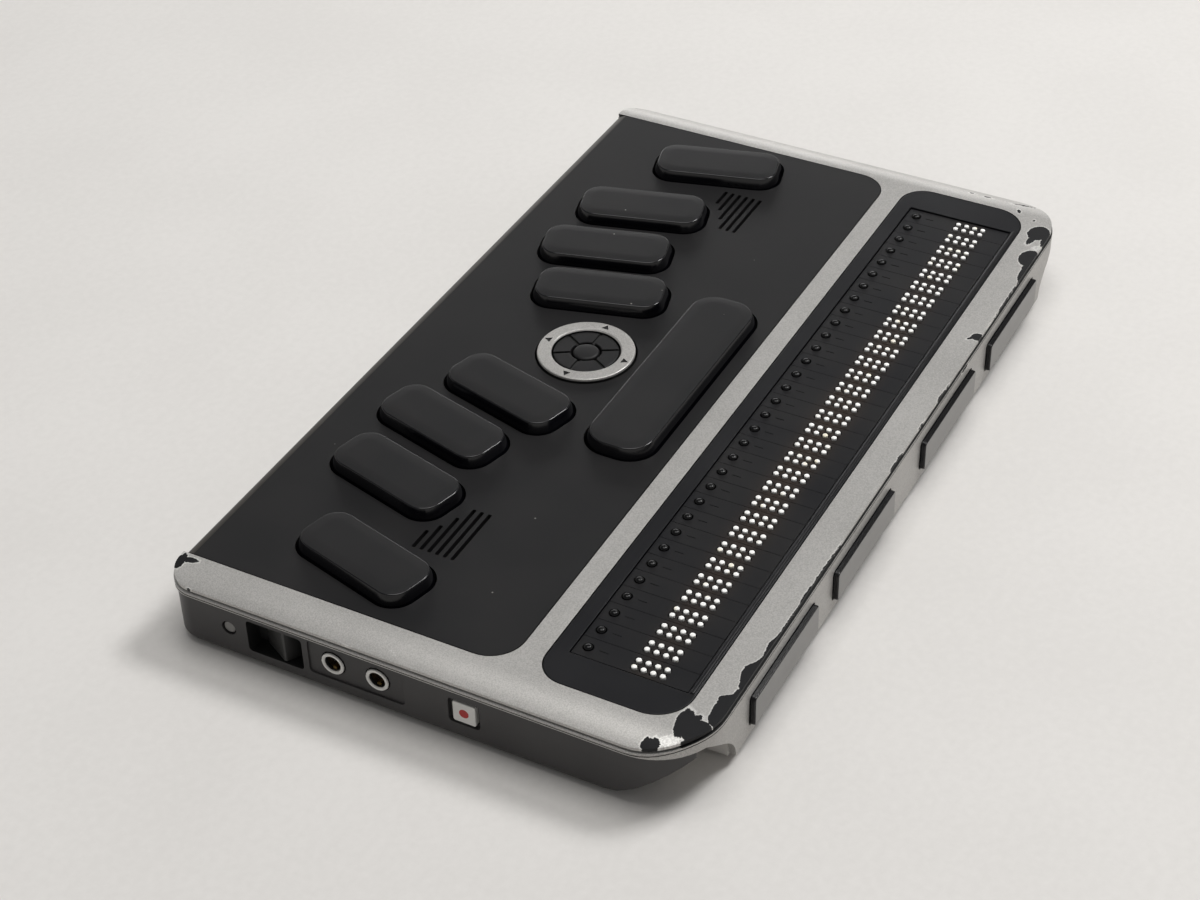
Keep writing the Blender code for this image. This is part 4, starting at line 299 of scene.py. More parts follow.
def silver_paint(name, chips, scuffs=(), strip=False, tone=1.0):
    """Satin silver paint with a fine flake, worn through to black plastic in places. Worn spots get a painted
    highlight round their edges, and a tone below 1 darkens the paint as painted shade.
    """
    paint = Finish(name, IOR=1.28)
    flake = paint.noise(0.32, 2)
    cloud = paint.noise(22, 3)
    ragged = paint.noise(1.6, 3)
    torn = paint.noise(0.45, 3)
    worn = paint.blobs(chips)
    if strip:
        low, high = STRIP_ENDS
        stops = [((x - low) / (high - low), width / STRIP_FULL) for x, width in STRIP_WIDTHS]
        along = (paint.axis("X") - low) * (1 / (high - low))
        width = paint.add("ShaderNodeValToRGB", {"stops": stops}, {0: along})
        worn = worn.most(width * STRIP_FULL - (paint.axis("Y") - FRONT) - 0.25)
    worn = worn + (ragged - 0.5) * 0.9 + (torn - 0.5) * 0.5
    bare = paint.step(worn, -0.04, 0.04)
    # A painted highlight along the edge of each worn spot, where the raised paint edge would catch the light;
    # that edge is also bumped
    lifted_edge_and_highlight = paint.step(worn, -0.42, -0.12) * (1 - bare)
    # A tone below 1 makes a darker copy of the paint, as painted shade
    shades = [tuple(level * tone for level in colour) for colour in (SILVER_SHADE, SILVER)]
    colour = paint.tint(paint.step(flake * 0.75 + cloud * 0.25, 0.34, 0.64), *shades)
    scuffs_and_highlight = lifted_edge_and_highlight * 0.55
    if scuffs:
        scuff_dust_and_light_mask = paint.step(paint.blobs(scuffs) + (torn - 0.5) * 1.6, -0.1, 0.25)
        scuffs_and_highlight = scuffs_and_highlight.most(scuff_dust_and_light_mask * (0.35 + paint.step(paint.noise(0.5, 2), 0.42, 0.6) * 0.45))
    colour = paint.tint(scuffs_and_highlight, colour, SCUFF_AND_HIGHLIGHT_PALE)
    paint.set("Base Color", paint.tint(bare, colour, UNDER_PAINT))
    paint.set("Metallic", (1 - bare) * 0.42)
    paint.set("Roughness", 0.30 + flake * 0.14 + bare * 0.1)
    paint.bump(1 - bare + flake * 0.05 + lifted_edge_and_highlight * 0.3, 0.08, 0.8)
    return paint.material


# Pale painted light in the tray's scooped corners, like the table's reflection; brown dust between the pins
SCOOP_PAINTED_LIGHT_GREY = (0.66, 0.64, 0.61)
SCOOP_PAINTED_LIGHT_BLOBS = [((side * 105, -66, 3), (12, 14, 12), 0) for side in (-1, 1)]
DOT_DUST = (0.026, 0.017, 0.012)
DOT_HAZES = [((0, -47.7, 20), (110, 5.5, 9), 0)]
DUST_GREY = (0.30, 0.29, 0.27)


def moulded(name, shade, light, roughness, grain, depth, shine=0.5, dust=0.0, dust_and_light_blobs=(), dust_and_light_colour=(0, 0, 0)):
    """Plastic with a fine grain and faint clouds between two tones, and dust specks or a coloured patch on
    some.
    """
    plastic = Finish(name, Specular_IOR_Level=shine)
    texture = plastic.noise(grain, 2)
    cloud = plastic.noise(17, 4)
    colour = plastic.tint(plastic.step(cloud, 0.3, 0.7), shade, light)
    if dust:
        speck = plastic.specks(3.1, dust)
        colour = plastic.tint(speck, colour, DUST_GREY)
    if dust_and_light_blobs:
        # The patch: brown dust on the caps, and on the tray pale painted light that lifts the shade in its
        # scooped corners
        scuff_dust_and_light_mask = plastic.step(plastic.blobs(dust_and_light_blobs) + (cloud - 0.5) * 3, -2.5, 4.5)
        colour = plastic.tint(scuff_dust_and_light_mask * 0.9, colour, dust_and_light_colour)
    plastic.set("Base Color", colour)
    plastic.set("Roughness", roughness + cloud * 0.10 - 0.05 + texture * 0.04)
    plastic.bump(texture, depth, 0.5)
    return plastic.material


def pin_white():
    """Slightly uneven white plastic, a little yellowed on some pins."""
    plastic = Finish("pin_white", Specular_IOR_Level=0.45)
    age = plastic.noise(3.4, 2)
    colour = plastic.tint(plastic.step(age, 0.55, 0.75), (0.96, 0.955, 0.93), (0.90, 0.84, 0.67))
    plastic.set("Base Color", colour)
    plastic.set("Roughness", 0.30 + age * 0.12)
    plastic.bump(plastic.noise(0.4), 0.01)
    return plastic.material


def brushed(name, colour, dark, roughness):
    """Bare metal with fine drawn lines."""
    metal = Finish(name, Metallic=1.0)
    lines = metal.noise(1.2, 4, (1, 1, 12))
    metal.set("Base Color", metal.tint(lines, dark, colour))
    metal.set("Roughness", roughness + lines * 0.12)
    metal.bump(lines, 0.01)
    return metal.material


def button_plastic(name, colour, shade, roughness):
    """Moulded plastic in a light colour, with a faint grain."""
    plastic = Finish(name)
    grain = plastic.noise(0.25, 2)
    plastic.set("Base Color", plastic.tint(plastic.noise(2.5, 3), shade, colour))
    plastic.set("Roughness", roughness + grain * 0.08)
    plastic.bump(grain, 0.01)
    return plastic.material


def board_green():
    """Circuit board: green mask over faint copper tracks, with tinned dots."""
    board = Finish("board_green")
    wander = board.noise(9, 1) * 6
    x, y = board.axis("X") + wander, board.axis("Y") + wander
    track = board.step(abs(x.maths("PINGPONG", x, 1.6) - 0.8), 0.22, 0.16)
    other = board.step(abs(y.maths("PINGPONG", y, 2.4) - 1.2), 0.2, 0.14)
    copper = track.most(other * board.step(board.noise(14, 1), 0.5, 0.52))
    cells = board.add("ShaderNodeTexVoronoi", None, {"Vector": board.spot, "Scale": 1 / (4.5 * MM)})
    dots = board.step(cells, 0.13, 0.11)
    colour = board.tint(copper, (0.012, 0.085, 0.035), (0.03, 0.16, 0.06))
    board.set("Base Color", board.tint(dots, colour, (0.62, 0.61, 0.58)))
    board.set("Metallic", dots * 0.9)
    board.set("Roughness", 0.38 - dots * 0.1)
    board.bump(copper * 0.5 + dots, 0.04)
    return board.material


def battery_wrap():
    """Shrunk dark film over two rows of cells."""
    wrap = Finish("battery_wrap", Coat_Weight=0.3)
    y = wrap.axis("Y")
    wave = wrap.noise(6, 3, (0.3, 1, 1))
    wrap.set("Base Color", wrap.tint(wave, (0.03, 0.034, 0.045), (0.06, 0.066, 0.08)))
    wrap.set("Roughness", 0.32 + wave * 0.15)
    wrap.bump(abs(y.maths("SINE", y * 0.33)) + wave * 0.2, 0.4)
    return wrap.material


def speaker_cloth():
    """Woven dark cloth behind the speaker slots."""
    cloth = Finish("speaker_cloth", Sheen_Weight=0.2)
    x, y = cloth.axis("X"), cloth.axis("Y")
    weave = x.maths("SINE", x * 14) * y.maths("SINE", y * 14) * 0.5 + 0.5
    cloth.set("Base Color", cloth.tint(weave, (0.006, 0.006, 0.007), (0.02, 0.02, 0.021)))
    cloth.set("Roughness", 0.85 + weave * 0.1)
    cloth.bump(weave, 0.08)
    return cloth.material


COVER_SILVER = silver_paint("cover_silver", COVER_CHIPS, COVER_SCUFFS, True)
# The rim's copy of the silver paint, darkened by its tone as painted shade
SHADED_RIM_SILVER = silver_paint("rim_silver_painted_shade", RIM_CHIPS, tone=0.92)
RING_SILVER = silver_paint("ring_silver", [((0, 8, 21), (0.5, 0.4, 1), 0)])
PANEL_BLACK = moulded(
    "panel_black", (0.0072, 0.007, 0.0076), (0.0095, 0.009, 0.0094), 0.46, 0.12, 0.012, 0.22, 0.012
)
KEY_MATTE = moulded(
    "key_matte", (0.008, 0.0079, 0.0086), (0.0108, 0.0103, 0.0107), 0.44, 0.12, 0.012, 0.23, 0.03
)
KEY_GLOSS = moulded("key_gloss", (0.0015, 0.0015, 0.0025), (0.003, 0.003, 0.0045), 0.13, 0.5, 0.004, 0.4)
BEZEL_BLACK = moulded(
    "bezel_black", (0.0055, 0.0055, 0.007), (0.0075, 0.0075, 0.009), 0.33, 0.3, 0.006, 0.26, 0.006
)
CAP_BLACK = moulded(
    "cap_black", (0.0055, 0.0055, 0.007), (0.0085, 0.008, 0.0085), 0.36, 0.2, 0.008, 0.26,
    dust_and_light_blobs=DOT_HAZES, dust_and_light_colour=DOT_DUST,
)
TRAY_BLACK = moulded(
    "tray_black", (0.036, 0.034, 0.0345), (0.046, 0.044, 0.044), 0.42, 0.22, 0.02, 0.4, 0.004,
    SCOOP_PAINTED_LIGHT_BLOBS, SCOOP_PAINTED_LIGHT_GREY,
)
# Lighter brownish black for the panel's rounded back edge: wear, with a painted sheen where that edge catches
# the light
PANEL_EDGE_WEAR_AND_SHEEN = moulded("panel_edge_wear_and_sheen", (0.025, 0.022, 0.018), (0.033, 0.029, 0.024), 0.42, 0.2, 0.012, 0.3)
SWITCH_BLACK = moulded("switch_black", (0.022, 0.022, 0.022), (0.030, 0.030, 0.029), 0.34, 0.2, 0.012)
BUTTON_BLACK = moulded(
    "button_black", (0.0015, 0.0015, 0.002), (0.003, 0.003, 0.0035), 0.14, 0.4, 0.002, 0.25
)
# Near-black: painted shade in grooves, gaps, holes and wells, and the plain black of some inner parts
BLACK_AND_PAINTED_SHADE = moulded("black_and_painted_shade", (0.002, 0.002, 0.002), (0.004, 0.004, 0.004), 0.6, 0.3, 0.01)
PIN_WHITE = pin_white()
# Grey for the thumb keys' front faces: a painted reflection of the pale table on the black keys
THUMB_PAINTED_REFLECTION = moulded("thumb_grey", (0.172, 0.168, 0.161), (0.207, 0.201, 0.194), 0.30, 0.3, 0.008)
RESET_GREY = moulded("reset_grey", (0.20, 0.195, 0.187), (0.25, 0.244, 0.235), 0.36, 0.2, 0.012)
JACK_RING = button_plastic("jack_ring", (0.80, 0.79, 0.76), (0.70, 0.69, 0.66), 0.28)
RECORD_WHITE = button_plastic("record_white", (0.78, 0.77, 0.74), (0.68, 0.67, 0.64), 0.32)
RECORD_RED = button_plastic("record_red", (0.50, 0.020, 0.016), (0.38, 0.014, 0.012), 0.35)
BORE_METAL = brushed("bore_metal", (0.42, 0.30, 0.20), (0.16, 0.10, 0.07), 0.25)
CONTACT_GOLD = brushed("contact_gold", (0.90, 0.62, 0.25), (0.72, 0.47, 0.17), 0.22)
BRIGHT_METAL = brushed("bright_metal", (0.72, 0.71, 0.69), (0.55, 0.54, 0.52), 0.24)
BOARD_GREEN = board_green()
BATTERY_WRAP = battery_wrap()
SPEAKER_CLOTH = speaker_cloth()
FOOT_RUBBER = moulded("foot_rubber", (0.012, 0.012, 0.012), (0.022, 0.022, 0.022), 0.75, 0.5, 0.05, dust=0.03)


def slab(x, y, z, corners=(0, 0, 0, 0), steps=10):
    """A block between low and high limits, its upright corners rounded from the front left round."""
    form = bmesh.new()
    middle = Vector([(low + high) / 2 for low, high in (x, y, z)])
    size = [high - low for low, high in (x, y, z)]
    bmesh.ops.create_cube(form, size=1, matrix=Matrix.Translation(middle) @ Matrix.Diagonal((*size, 1)))
    spots = [(x[0], y[0]), (x[1], y[0]), (x[1], y[1]), (x[0], y[1])]
    uprights = [edges_where(form, lambda at: (at.xy - Vector(spot)).length < NEAR) for spot in spots]
    for upright, radius in zip(uprights, corners):
        if radius > 0:
            bevel(form, upright, radius, steps)
    return form


def edges_where(form, chosen):
    """The edges with both ends where the test says."""
    return [edge for edge in form.edges if all(chosen(vertex.co) for vertex in edge.verts)]


def bevel(form, edges, width, segments):
    bmesh.ops.bevel(
        form, geom=edges, offset=width, segments=segments, profile=0.5, affect="EDGES", material=-1
    )


def pill(length_x, length_y, radius, z, steps=10):
    half_x, half_y = length_x / 2, length_y / 2
    return slab((-half_x, half_x), (-half_y, half_y), z, (radius,) * 4, steps)


def case_slab(inset, low, high, steps=14):
    """The case's plan, drawn in by an inset."""
    radii = (FRONT_CORNER - inset,) * 2 + (BACK_CORNER - inset,) * 2
    x = (inset - HALF_WIDTH, HALF_WIDTH - inset)
    return slab(x, (FRONT + inset, BACK - inset), (low, high), radii, steps)


def facing(form, direction=(0, 0, 1)):
    """The face furthest along a direction."""
    wanted = Vector(direction)
    form.normal_update()
    level = [f for f in form.faces if f.normal.dot(wanted) > 0.99]
    return max(level, key=lambda f: f.calc_center_median().dot(wanted) * 1000 + f.calc_area() / 1000)


def raise_face(form, face, *moves):
    """Draws a face in by one width and out by one height, move after move."""
    for inward, outward in moves:
        bmesh.ops.inset_region(
            form, faces=[face], thickness=inward, depth=outward, use_even_offset=True, use_boundary=True
        )
    return face


def rod(x, y, z, radius, sides):
    """An upright rod between a low and a high limit."""
    form = bmesh.new()
    middle = Matrix.Translation((x, y, sum(z) / 2))
    bmesh.ops.create_cone(
        form, cap_ends=True, segments=sides, radius1=radius, radius2=radius, depth=z[1] - z[0], matrix=middle
    )
    return form


def turned(profile, steps=64, closed=False):
    """A profile of radius and height spun round the Z axis."""
    form = bmesh.new()
    line = [form.verts.new((radius, 0, z)) for radius, z in profile]
    edges = [form.edges.new(pair) for pair in zip(line, line[1:] + line[: 1 if closed else 0])]
    bmesh.ops.spin(
        form, geom=line + edges, cent=(0, 0, 0), axis=(0, 0, 1), angle=math.tau, steps=steps, use_merge=True
    )
    bmesh.ops.remove_doubles(form, verts=form.verts, dist=NEAR)
    return form


def gather(*forms):
    """Several forms in one."""
    whole = bmesh.new()
    for form in forms:
        mesh = bpy.data.meshes.new("part")
        form.to_mesh(mesh)
        form.free()
        whole.from_mesh(mesh)
        bpy.data.meshes.remove(mesh)
    return whole


def placed(form, place):
    bmesh.ops.transform(form, matrix=place, verts=form.verts)
    return form


def moved(form, x=0, y=0, z=0):
    return placed(form, Matrix.Translation((x, y, z)))


def turn(degrees, axis="Z"):
    return Matrix.Rotation(math.radians(degrees), 4, axis)


def to_front(x, y, z):
    """The move that makes a form which faces up face the user, in its place."""
    return Matrix.Translation((x, y, z)) @ turn(90, "X")


def to_left(y, z):
    """The move that makes a form which faces up face out of the left side, in its place."""
    return Matrix.Translation((0, y, z)) @ turn(-90) @ turn(90, "X")


def slice_across(form, x):
    """Adds the edges where a plane across X meets a form."""
    geometry = form.verts[:] + form.edges[:] + form.faces[:]
    bmesh.ops.bisect_plane(form, geom=geometry, dist=1e-5, plane_co=(x, 0, 0), plane_no=(1, 0, 0))


def painted(form, number, chosen=lambda face: True):
    """Gives the chosen faces one of the piece's finishes by its number."""
    form.normal_update()
    for face in form.faces:
        if chosen(face):
            face.material_index = number
    return form


def added(name, data):
    """A new object in the scene."""
    thing = bpy.data.objects.new(name, data)
    bpy.context.scene.collection.objects.link(thing)
    return thing


def piece(name, form, *finishes):
    """An object in metres from a form in millimetres."""
    bmesh.ops.recalc_face_normals(form, faces=form.faces)
    bmesh.ops.scale(form, vec=(MM, MM, MM), verts=form.verts)
    mesh = bpy.data.meshes.new(name)
    form.to_mesh(mesh)
    form.free()
    for finish in finishes:
        mesh.materials.append(finish)
    return added(name, mesh)


def settle(thing):
    """Makes a piece's modifiers part of its mesh."""
    graph = bpy.context.evaluated_depsgraph_get()
    graph.update()
    mesh = bpy.data.meshes.new_from_object(
        thing.evaluated_get(graph), preserve_all_data_layers=True, depsgraph=graph
    )
    thing.modifiers.clear()
    old = thing.data
    thing.data = mesh
    bpy.data.meshes.remove(old)
    mesh.name = thing.name
    return thing


def carve(thing, *cutters, operation="DIFFERENCE", finish=None):
    """Cuts forms out of a piece, or keeps only what is in them."""
    tools = []
    for i, form in enumerate(cutters):
        tool = piece(f"{thing.name}_tool_{i}", form, *([finish] if finish else []))
        change = thing.modifiers.new(tool.name, "BOOLEAN")
        change.operation = operation
        change.solver = "EXACT"
        change.object = tool
        if finish:
            change.material_mode = "TRANSFER"
        tools.append(tool)
    settle(thing)
    for tool in tools:
        bpy.data.objects.remove(tool, do_unlink=True)
    return thing


def soften(thing, width=0.2, segments=2, angle=40, smooth=35):
    """Rounds a piece's sharp edges and shades what is left smooth."""
    if width:
        edge = thing.modifiers.new("edge", "BEVEL")
        edge.width = width * MM
        edge.segments = segments
        edge.limit_method = "ANGLE"
        edge.angle_limit = math.radians(angle)
        edge.use_clamp_overlap = True
        edge.miter_outer = "MITER_ARC"
        settle(thing)
    thing.data.shade_smooth()
    thing.data.set_sharp_from_angle(angle=math.radians(smooth))
    weigh = thing.modifiers.new("weigh", "WEIGHTED_NORMAL")
    weigh.keep_sharp = True
    weigh.weight = 100
    return settle(thing)


def repaint(thing, chosen, finish=BLACK_AND_PAINTED_SHADE):
    """Another finish for the chosen faces, by where they are in millimetres and how they face; by default the
    near-black of painted shade.
    """
    thing.data.materials.append(finish)
    for face in thing.data.polygons:
        if chosen(face.center / MM, face.normal):
            face.material_index = len(thing.data.materials) - 1


def dress(thing, body, slot, *nodes):
    """Hands a finished piece to the frame."""
    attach(thing, body)
    if nodes:
        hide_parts(*nodes)


def crown_drop(x):
    """How far the top has fallen at a distance from the middle, straight between the crown lines."""
    width = HALF_WIDTH - CROWN_START
    radius = (width**2 + CROWN_DROP**2) / (2 * CROWN_DROP)
    out = min(max(abs(x) - CROWN_START, 0), width)
    low, share = int(out), out - int(out)
    arc = [radius - math.sqrt(radius**2 - step**2) for step in (low, min(low + 1, width))]
    return arc[0] + (arc[1] - arc[0]) * share


def bow(form, above):
    """Lets the sides of all that lies above a level fall in the top frame's arc."""
    for x in CROWN_LINES:
        for side in (-1, 1):
            slice_across(form, side * x)
    for vertex in form.verts:
        if vertex.co.z > above:
            vertex.co.z -= crown_drop(vertex.co.x)
    return form


def key_place(name):
    """Where a key stands, turned towards the hand on its side."""
    x, y = KEY_SPOTS[name]
    return Matrix.Translation((x, y, 0)) @ turn(math.copysign(KEY_TURN, x))


def key_opening(size, grow, low):
    length_x, length_y, corner = size
    return pill(length_x + grow * 2, length_y + grow * 2, corner + grow, (low, TOP + FAR))


def key_openings(grow, low):
    """Cutters for the eight keys, the space bar and the arrow ring, grown by a gap all round."""
    holes = [placed(key_opening(KEY_SIZE, grow, low), key_place(name)) for name in KEY_SPOTS]
    holes.append(moved(key_opening(SPACE_SIZE, grow, low), 0, SPACE_Y))
    holes.append(rod(0, RING_Y, (low, TOP + FAR), 13.6, sides=72))
    return gather(*holes)


def make_top_frame():
    """The silver frame: a crowned lip over the groove, and the deck that the black parts lie on."""
    form = case_slab(LIP_INSET, LIP_BOTTOM, TOP)
    raise_face(form, facing(form, (0, 0, -1)), (NECK_INSET, 0), (0, LIP_BOTTOM - DECK_BOTTOM))
    cover = piece("silver_frame", bow(form, TOP - 2), COVER_SILVER)
    high = TOP + FAR
    low = DECK_BOTTOM - FAR
    panel = PANEL_HALF + 0.3
    cells = CELL_COUNT * CELL_PITCH / 2 + 0.6
    carve(
        cover,
        slab((-panel, panel), (PANEL_FRONT - 0.3, BACK + FAR), (DECK_TOP, high), (8.8, 8.8, 0, 0)),
        slab((-panel, panel), (BACK - 2.6, BACK + FAR), (low, TOP)),
        slab((-panel, panel), (BEZEL_FRONT - 0.3, BEZEL_BACK + 0.3), (DECK_TOP, high), (9.3, 9.3, 7.3, 7.3)),
        slab((-cells, cells), (CELLS_FRONT - 0.6, CELLS_BACK + 0.6), (low, TOP)),
        key_openings(1.95, low),
        gather(*[slab((x - 10, x + 10), (10.195, 16.495), (low, TOP)) for x in (-SPEAKER_X, SPEAKER_X)]),
    )
    soften(cover, 0.2, 3)
    # Painted shade: the lip's underside and the neck below it are near-black, so the groove under the lip
    # reads as a dark line
    repaint(cover, lambda at, normal: at.z < TOP - 0.75 - crown_drop(at.x))
    # Painted shade: the upright walls of the openings over the panel and bezel are near-black, for a dark gap
    # along their edges
    repaint(
        cover,
        lambda at, normal: abs(normal.z) < 0.6 and abs(at.x) < PANEL_HALF + 1 and at.y > BEZEL_FRONT - 1,
    )
    z = (POST_BOTTOM, DECK_BOTTOM + 0.3)
    posts = [rod(x, y, z, 2.2, sides=24) for x, y in BOSS_SPOTS]
    posts += [rod(x, y, z, 2.8, sides=24) for x, y in SCREW_SPOTS]
    posts = soften(piece("frame_posts", gather(*posts), TRAY_BLACK))
    dress(posts, "case", "silver_paint")
    dress(cover, "case", "silver_paint", "top_cover")


def sweep_cutter(side):
    """The space beside the rim's front wall, whose lower edge sweeps up to the band."""
    form = slab((SWEEP_START, HALF_WIDTH + FAR), (FRONT - FAR, FRONT + 17), (-FAR, RIM_BAND))
    count = 12
    for i in range(count):
        slice_across(form, SWEEP_START + SWEEP_WIDTH * ((i + 1) / count) ** 2)
    for vertex in form.verts:
        if vertex.co.z > 0:
            share = min(max((vertex.co.x - SWEEP_START) / SWEEP_WIDTH, 0), 1) ** 0.5
            vertex.co.z = RIM_FOOT + (RIM_BAND - RIM_FOOT) * share
    if side < 0:
        bmesh.ops.scale(form, vec=(-1, 1, 1), verts=form.verts)
    return form


def edge_line(inset, low, high):
    """A thin band round the case's plan, which cuts a fine line into its side."""
    outside = 0.4
    form = case_slab(-outside, low, high)
    ends = [raise_face(form, facing(form, (0, 0, side)), (outside + inset, 0)) for side in (-1, 1)]
    loops = [edge for face in ends for edge in face.edges]
    bmesh.ops.delete(form, geom=ends, context="FACES_ONLY")
    bmesh.ops.bridge_loops(form, edges=loops)
    bmesh.ops.recalc_face_normals(form, faces=form.faces)
    return bow(form, TOP - 4)


def make_rim():
    """The silver band under the groove, with the tall front wall that holds the thumb keys."""
    rim = piece("silver_rim", bow(case_slab(0, RIM_FOOT, RIM_TOP), TOP - 4), SHADED_RIM_SILVER)
    high = TOP + FAR
    behind = slab((-HALF_WIDTH - FAR, HALF_WIDTH + FAR), (FRONT + 8.5, BACK + FAR), (-FAR, RIM_BAND))
    thumbs = [moved(pill(36.4, 9.3, 1.3, (-FAR, 4), 6), x, THUMB_LEVEL) for x in THUMB_SPOTS]
    thumbs = placed(gather(*thumbs), to_front(0, FRONT, 0))
    carve(
        rim,
        case_slab(RIM_WALL, RIM_BAND + 0.9, high),
        case_slab(RIM_WALL, -FAR, RIM_BAND),
        case_slab(4.0, -FAR, high),
        behind,
        sweep_cutter(-1),
        sweep_cutter(1),
        slab((-113.2, 113.2), (BACK - 17, BACK + FAR), (16.7, high)),
        thumbs,
    )
    soften(rim, 0.22, 3)
    # Painted shade: the rim's flat top under the lip is near-black, and so are the faces of the fine line cut
    # into its side
    repaint(rim, lambda at, normal: normal.z > 0.98 and at.z > TOP - 1.6 - crown_drop(at.x))
    carve(rim, edge_line(LINE_DEPTH, LINE_LOW, LINE_HIGH), finish=BLACK_AND_PAINTED_SHADE)
    soften(rim, 0)
    dress(rim, "case", "silver_paint", "rim_frame")


def make_panel():
    """The soft black panel, rounded over the back of the case, with its key openings and speaker slots."""
    form = slab((-PANEL_HALF, PANEL_HALF), (PANEL_FRONT, BACK), (18.2, TOP), (8.5, 8.5, 0, 0), 14)
    lip = slab((-PANEL_HALF, PANEL_HALF), (BACK - 2.3, BACK), (17.0, 19))
    panel = piece("black_panel", form, PANEL_BLACK)
    carve(panel, lip, operation="UNION")
    edge = slab((-PANEL_HALF - FAR, PANEL_HALF + FAR), (PANEL_FRONT - FAR, BACK), (17.0, TOP))
    bevel(edge, edges_where(edge, lambda at: at.y > BACK - 0.01 and at.z > TOP - 0.01), 2.97, 10)
    carve(panel, edge, operation="INTERSECT")
    slots = []
    for i, length in enumerate(SLOT_LENGTHS):
        y = SLOT_FRONT + SLOT_PITCH * i
        for x in ((SLOT_END - length, SLOT_END), (-SLOT_END, length - SLOT_END)):
            slots.append(slab(x, (y - 0.5, y + 0.5), (10, TOP + FAR), (0.3,) * 4, 3))
    carve(panel, key_openings(1.55, 12), gather(*slots))
    soften(panel, 0.16)
    # The rounded back edge is lighter: worn, and with a painted sheen
    repaint(panel, lambda at, normal: at.y > BACK - 3.0 and normal.y > 0.05, PANEL_EDGE_WEAR_AND_SHEEN)
    dress(panel, "case", "soft_black", "keyboard_panel")


def make_bezel():
    """The black bezel round the braille line, with the low ridge in front of the cells."""
    form = slab((-PANEL_HALF, PANEL_HALF), (BEZEL_FRONT, BEZEL_BACK), (18.2, TOP), (9, 9, 7, 7), 14)
    bezel = piece("black_bezel", form, BEZEL_BLACK)
    half = CELL_COUNT * CELL_PITCH / 2 + 0.4
    carve(bezel, slab((-half, half), (CELLS_FRONT - 0.3, CELLS_BACK + 0.3), (10, TOP + FAR)))
    middle = (BEZEL_FRONT + CELLS_FRONT - 0.3) / 2
    ridge = slab((-half, half), (middle - 0.5, middle + 0.5), (TOP - 0.9, TOP + 0.5))
    bevel(ridge, edges_where(ridge, lambda at: at.z > TOP), 0.3, 3)
    carve(bezel, ridge, operation="UNION")
    soften(bezel, 0.14)
    dress(bezel, "case", "gloss_black", "display_bezel")


def repeat(form, spots):
    """Copies of a form at several places, in one form."""
    mesh = bpy.data.meshes.new("pattern")
    form.to_mesh(mesh)
    form.free()
    whole = bmesh.new()
    for x, y in spots:
        before = len(whole.verts)
        whole.from_mesh(mesh)
        whole.verts.ensure_lookup_table()
        bmesh.ops.translate(whole, vec=(x, y, 0), verts=whole.verts[before:])
    bpy.data.meshes.remove(mesh)
    return whole


def cell_x(i):
    """The middle of a cell, counted from the left."""
    return CELL_PITCH * (i + 0.5 - CELL_COUNT / 2)


def make_cells():
    """One cap with its eight holes, its button hole and a short slit, repeated for every cell."""
    cap = slab((-3.14, 3.14), (CELLS_FRONT, CELLS_BACK), (CAP_TOP - 1.5, CAP_TOP))
    cap = piece("cell_tops", cap, CAP_BLACK)
    low, high = CAP_TOP - 4, CAP_TOP + FAR
    holes = [rod(x, y, (low, high), 1.04, sides=18) for x in (-DOT_SIDE, DOT_SIDE) for y in DOT_ROWS]
    holes.append(rod(0, ROUTER_ROW, (low, high), 1.4, sides=28))
    # The holes' walls are near-black, as painted shade
    carve(cap, gather(*holes), finish=BLACK_AND_PAINTED_SHADE)
    slit = (ROUTER_ROW - 5.2, ROUTER_ROW - 2.8)
    carve(cap, slab((-0.13, 0.13), slit, (CAP_TOP - 0.16, high), (0.1,) * 4, 3))
    soften(cap, 0.1)
    mesh = cap.data
    tile = bmesh.new()
    tile.from_mesh(mesh)
    strip = repeat(tile, [(cell_x(i) * MM, 0) for i in range(CELL_COUNT)])
    strip.to_mesh(mesh)
    strip.free()
    dress(cap, "case", "gloss_black", "cell_caps")


def comb(kind, group, rows, spots, tip, finish, slot):
    """A bar under the caps with the pins or buttons of one group of cells standing on it."""
    name = f"{kind}_{group + 1}"
    width = CELL_GROUP * CELL_PITCH
    left = width * (group - 2) + 0.6
    bar = slab((left, left + width - 1.2), (rows[0] - 1.7, rows[-1] + 1.7), COMB_BAR)
    thing = soften(piece(name + "_tips", gather(bar, repeat(tip, spots)), finish), 0, smooth=60)
    dress(thing, name, slot, name)


def make_combs():
    """Round-topped pins and domed routing buttons, in groups that move together."""
    low = COMB_BAR[1] - 0.1
    dome = [math.radians(15 * i) for i in range(6)]
    steps = [(math.cos(a) - math.cos(b), math.sin(b) - math.sin(a)) for a, b in zip(dome, dome[1:])]
    for group in range(CELL_COUNT // CELL_GROUP):
        columns = [cell_x(group * CELL_GROUP + i) for i in range(CELL_GROUP)]
        pin = rod(0, 0, (low, 19.86), 0.71, sides=12)
        raise_face(pin, facing(pin), (0.04, 0.08), (0.09, 0.08), (0.2, 0.07))
        dots = [(x + side, y) for x in columns for side in (-DOT_SIDE, DOT_SIDE) for y in DOT_ROWS]
        comb("braille_pins", group, DOT_ROWS, dots, pin, PIN_WHITE, "dot_white")
        button = rod(0, 0, (low, 19.6), 1.1, sides=24)
        raise_face(button, facing(button), *[(across * 1.1, up * 0.72) for across, up in steps])
        spots = [(x, ROUTER_ROW) for x in columns]
        comb("routing_keys", group, (ROUTER_ROW,), spots, button, BUTTON_BLACK, "gloss_black")


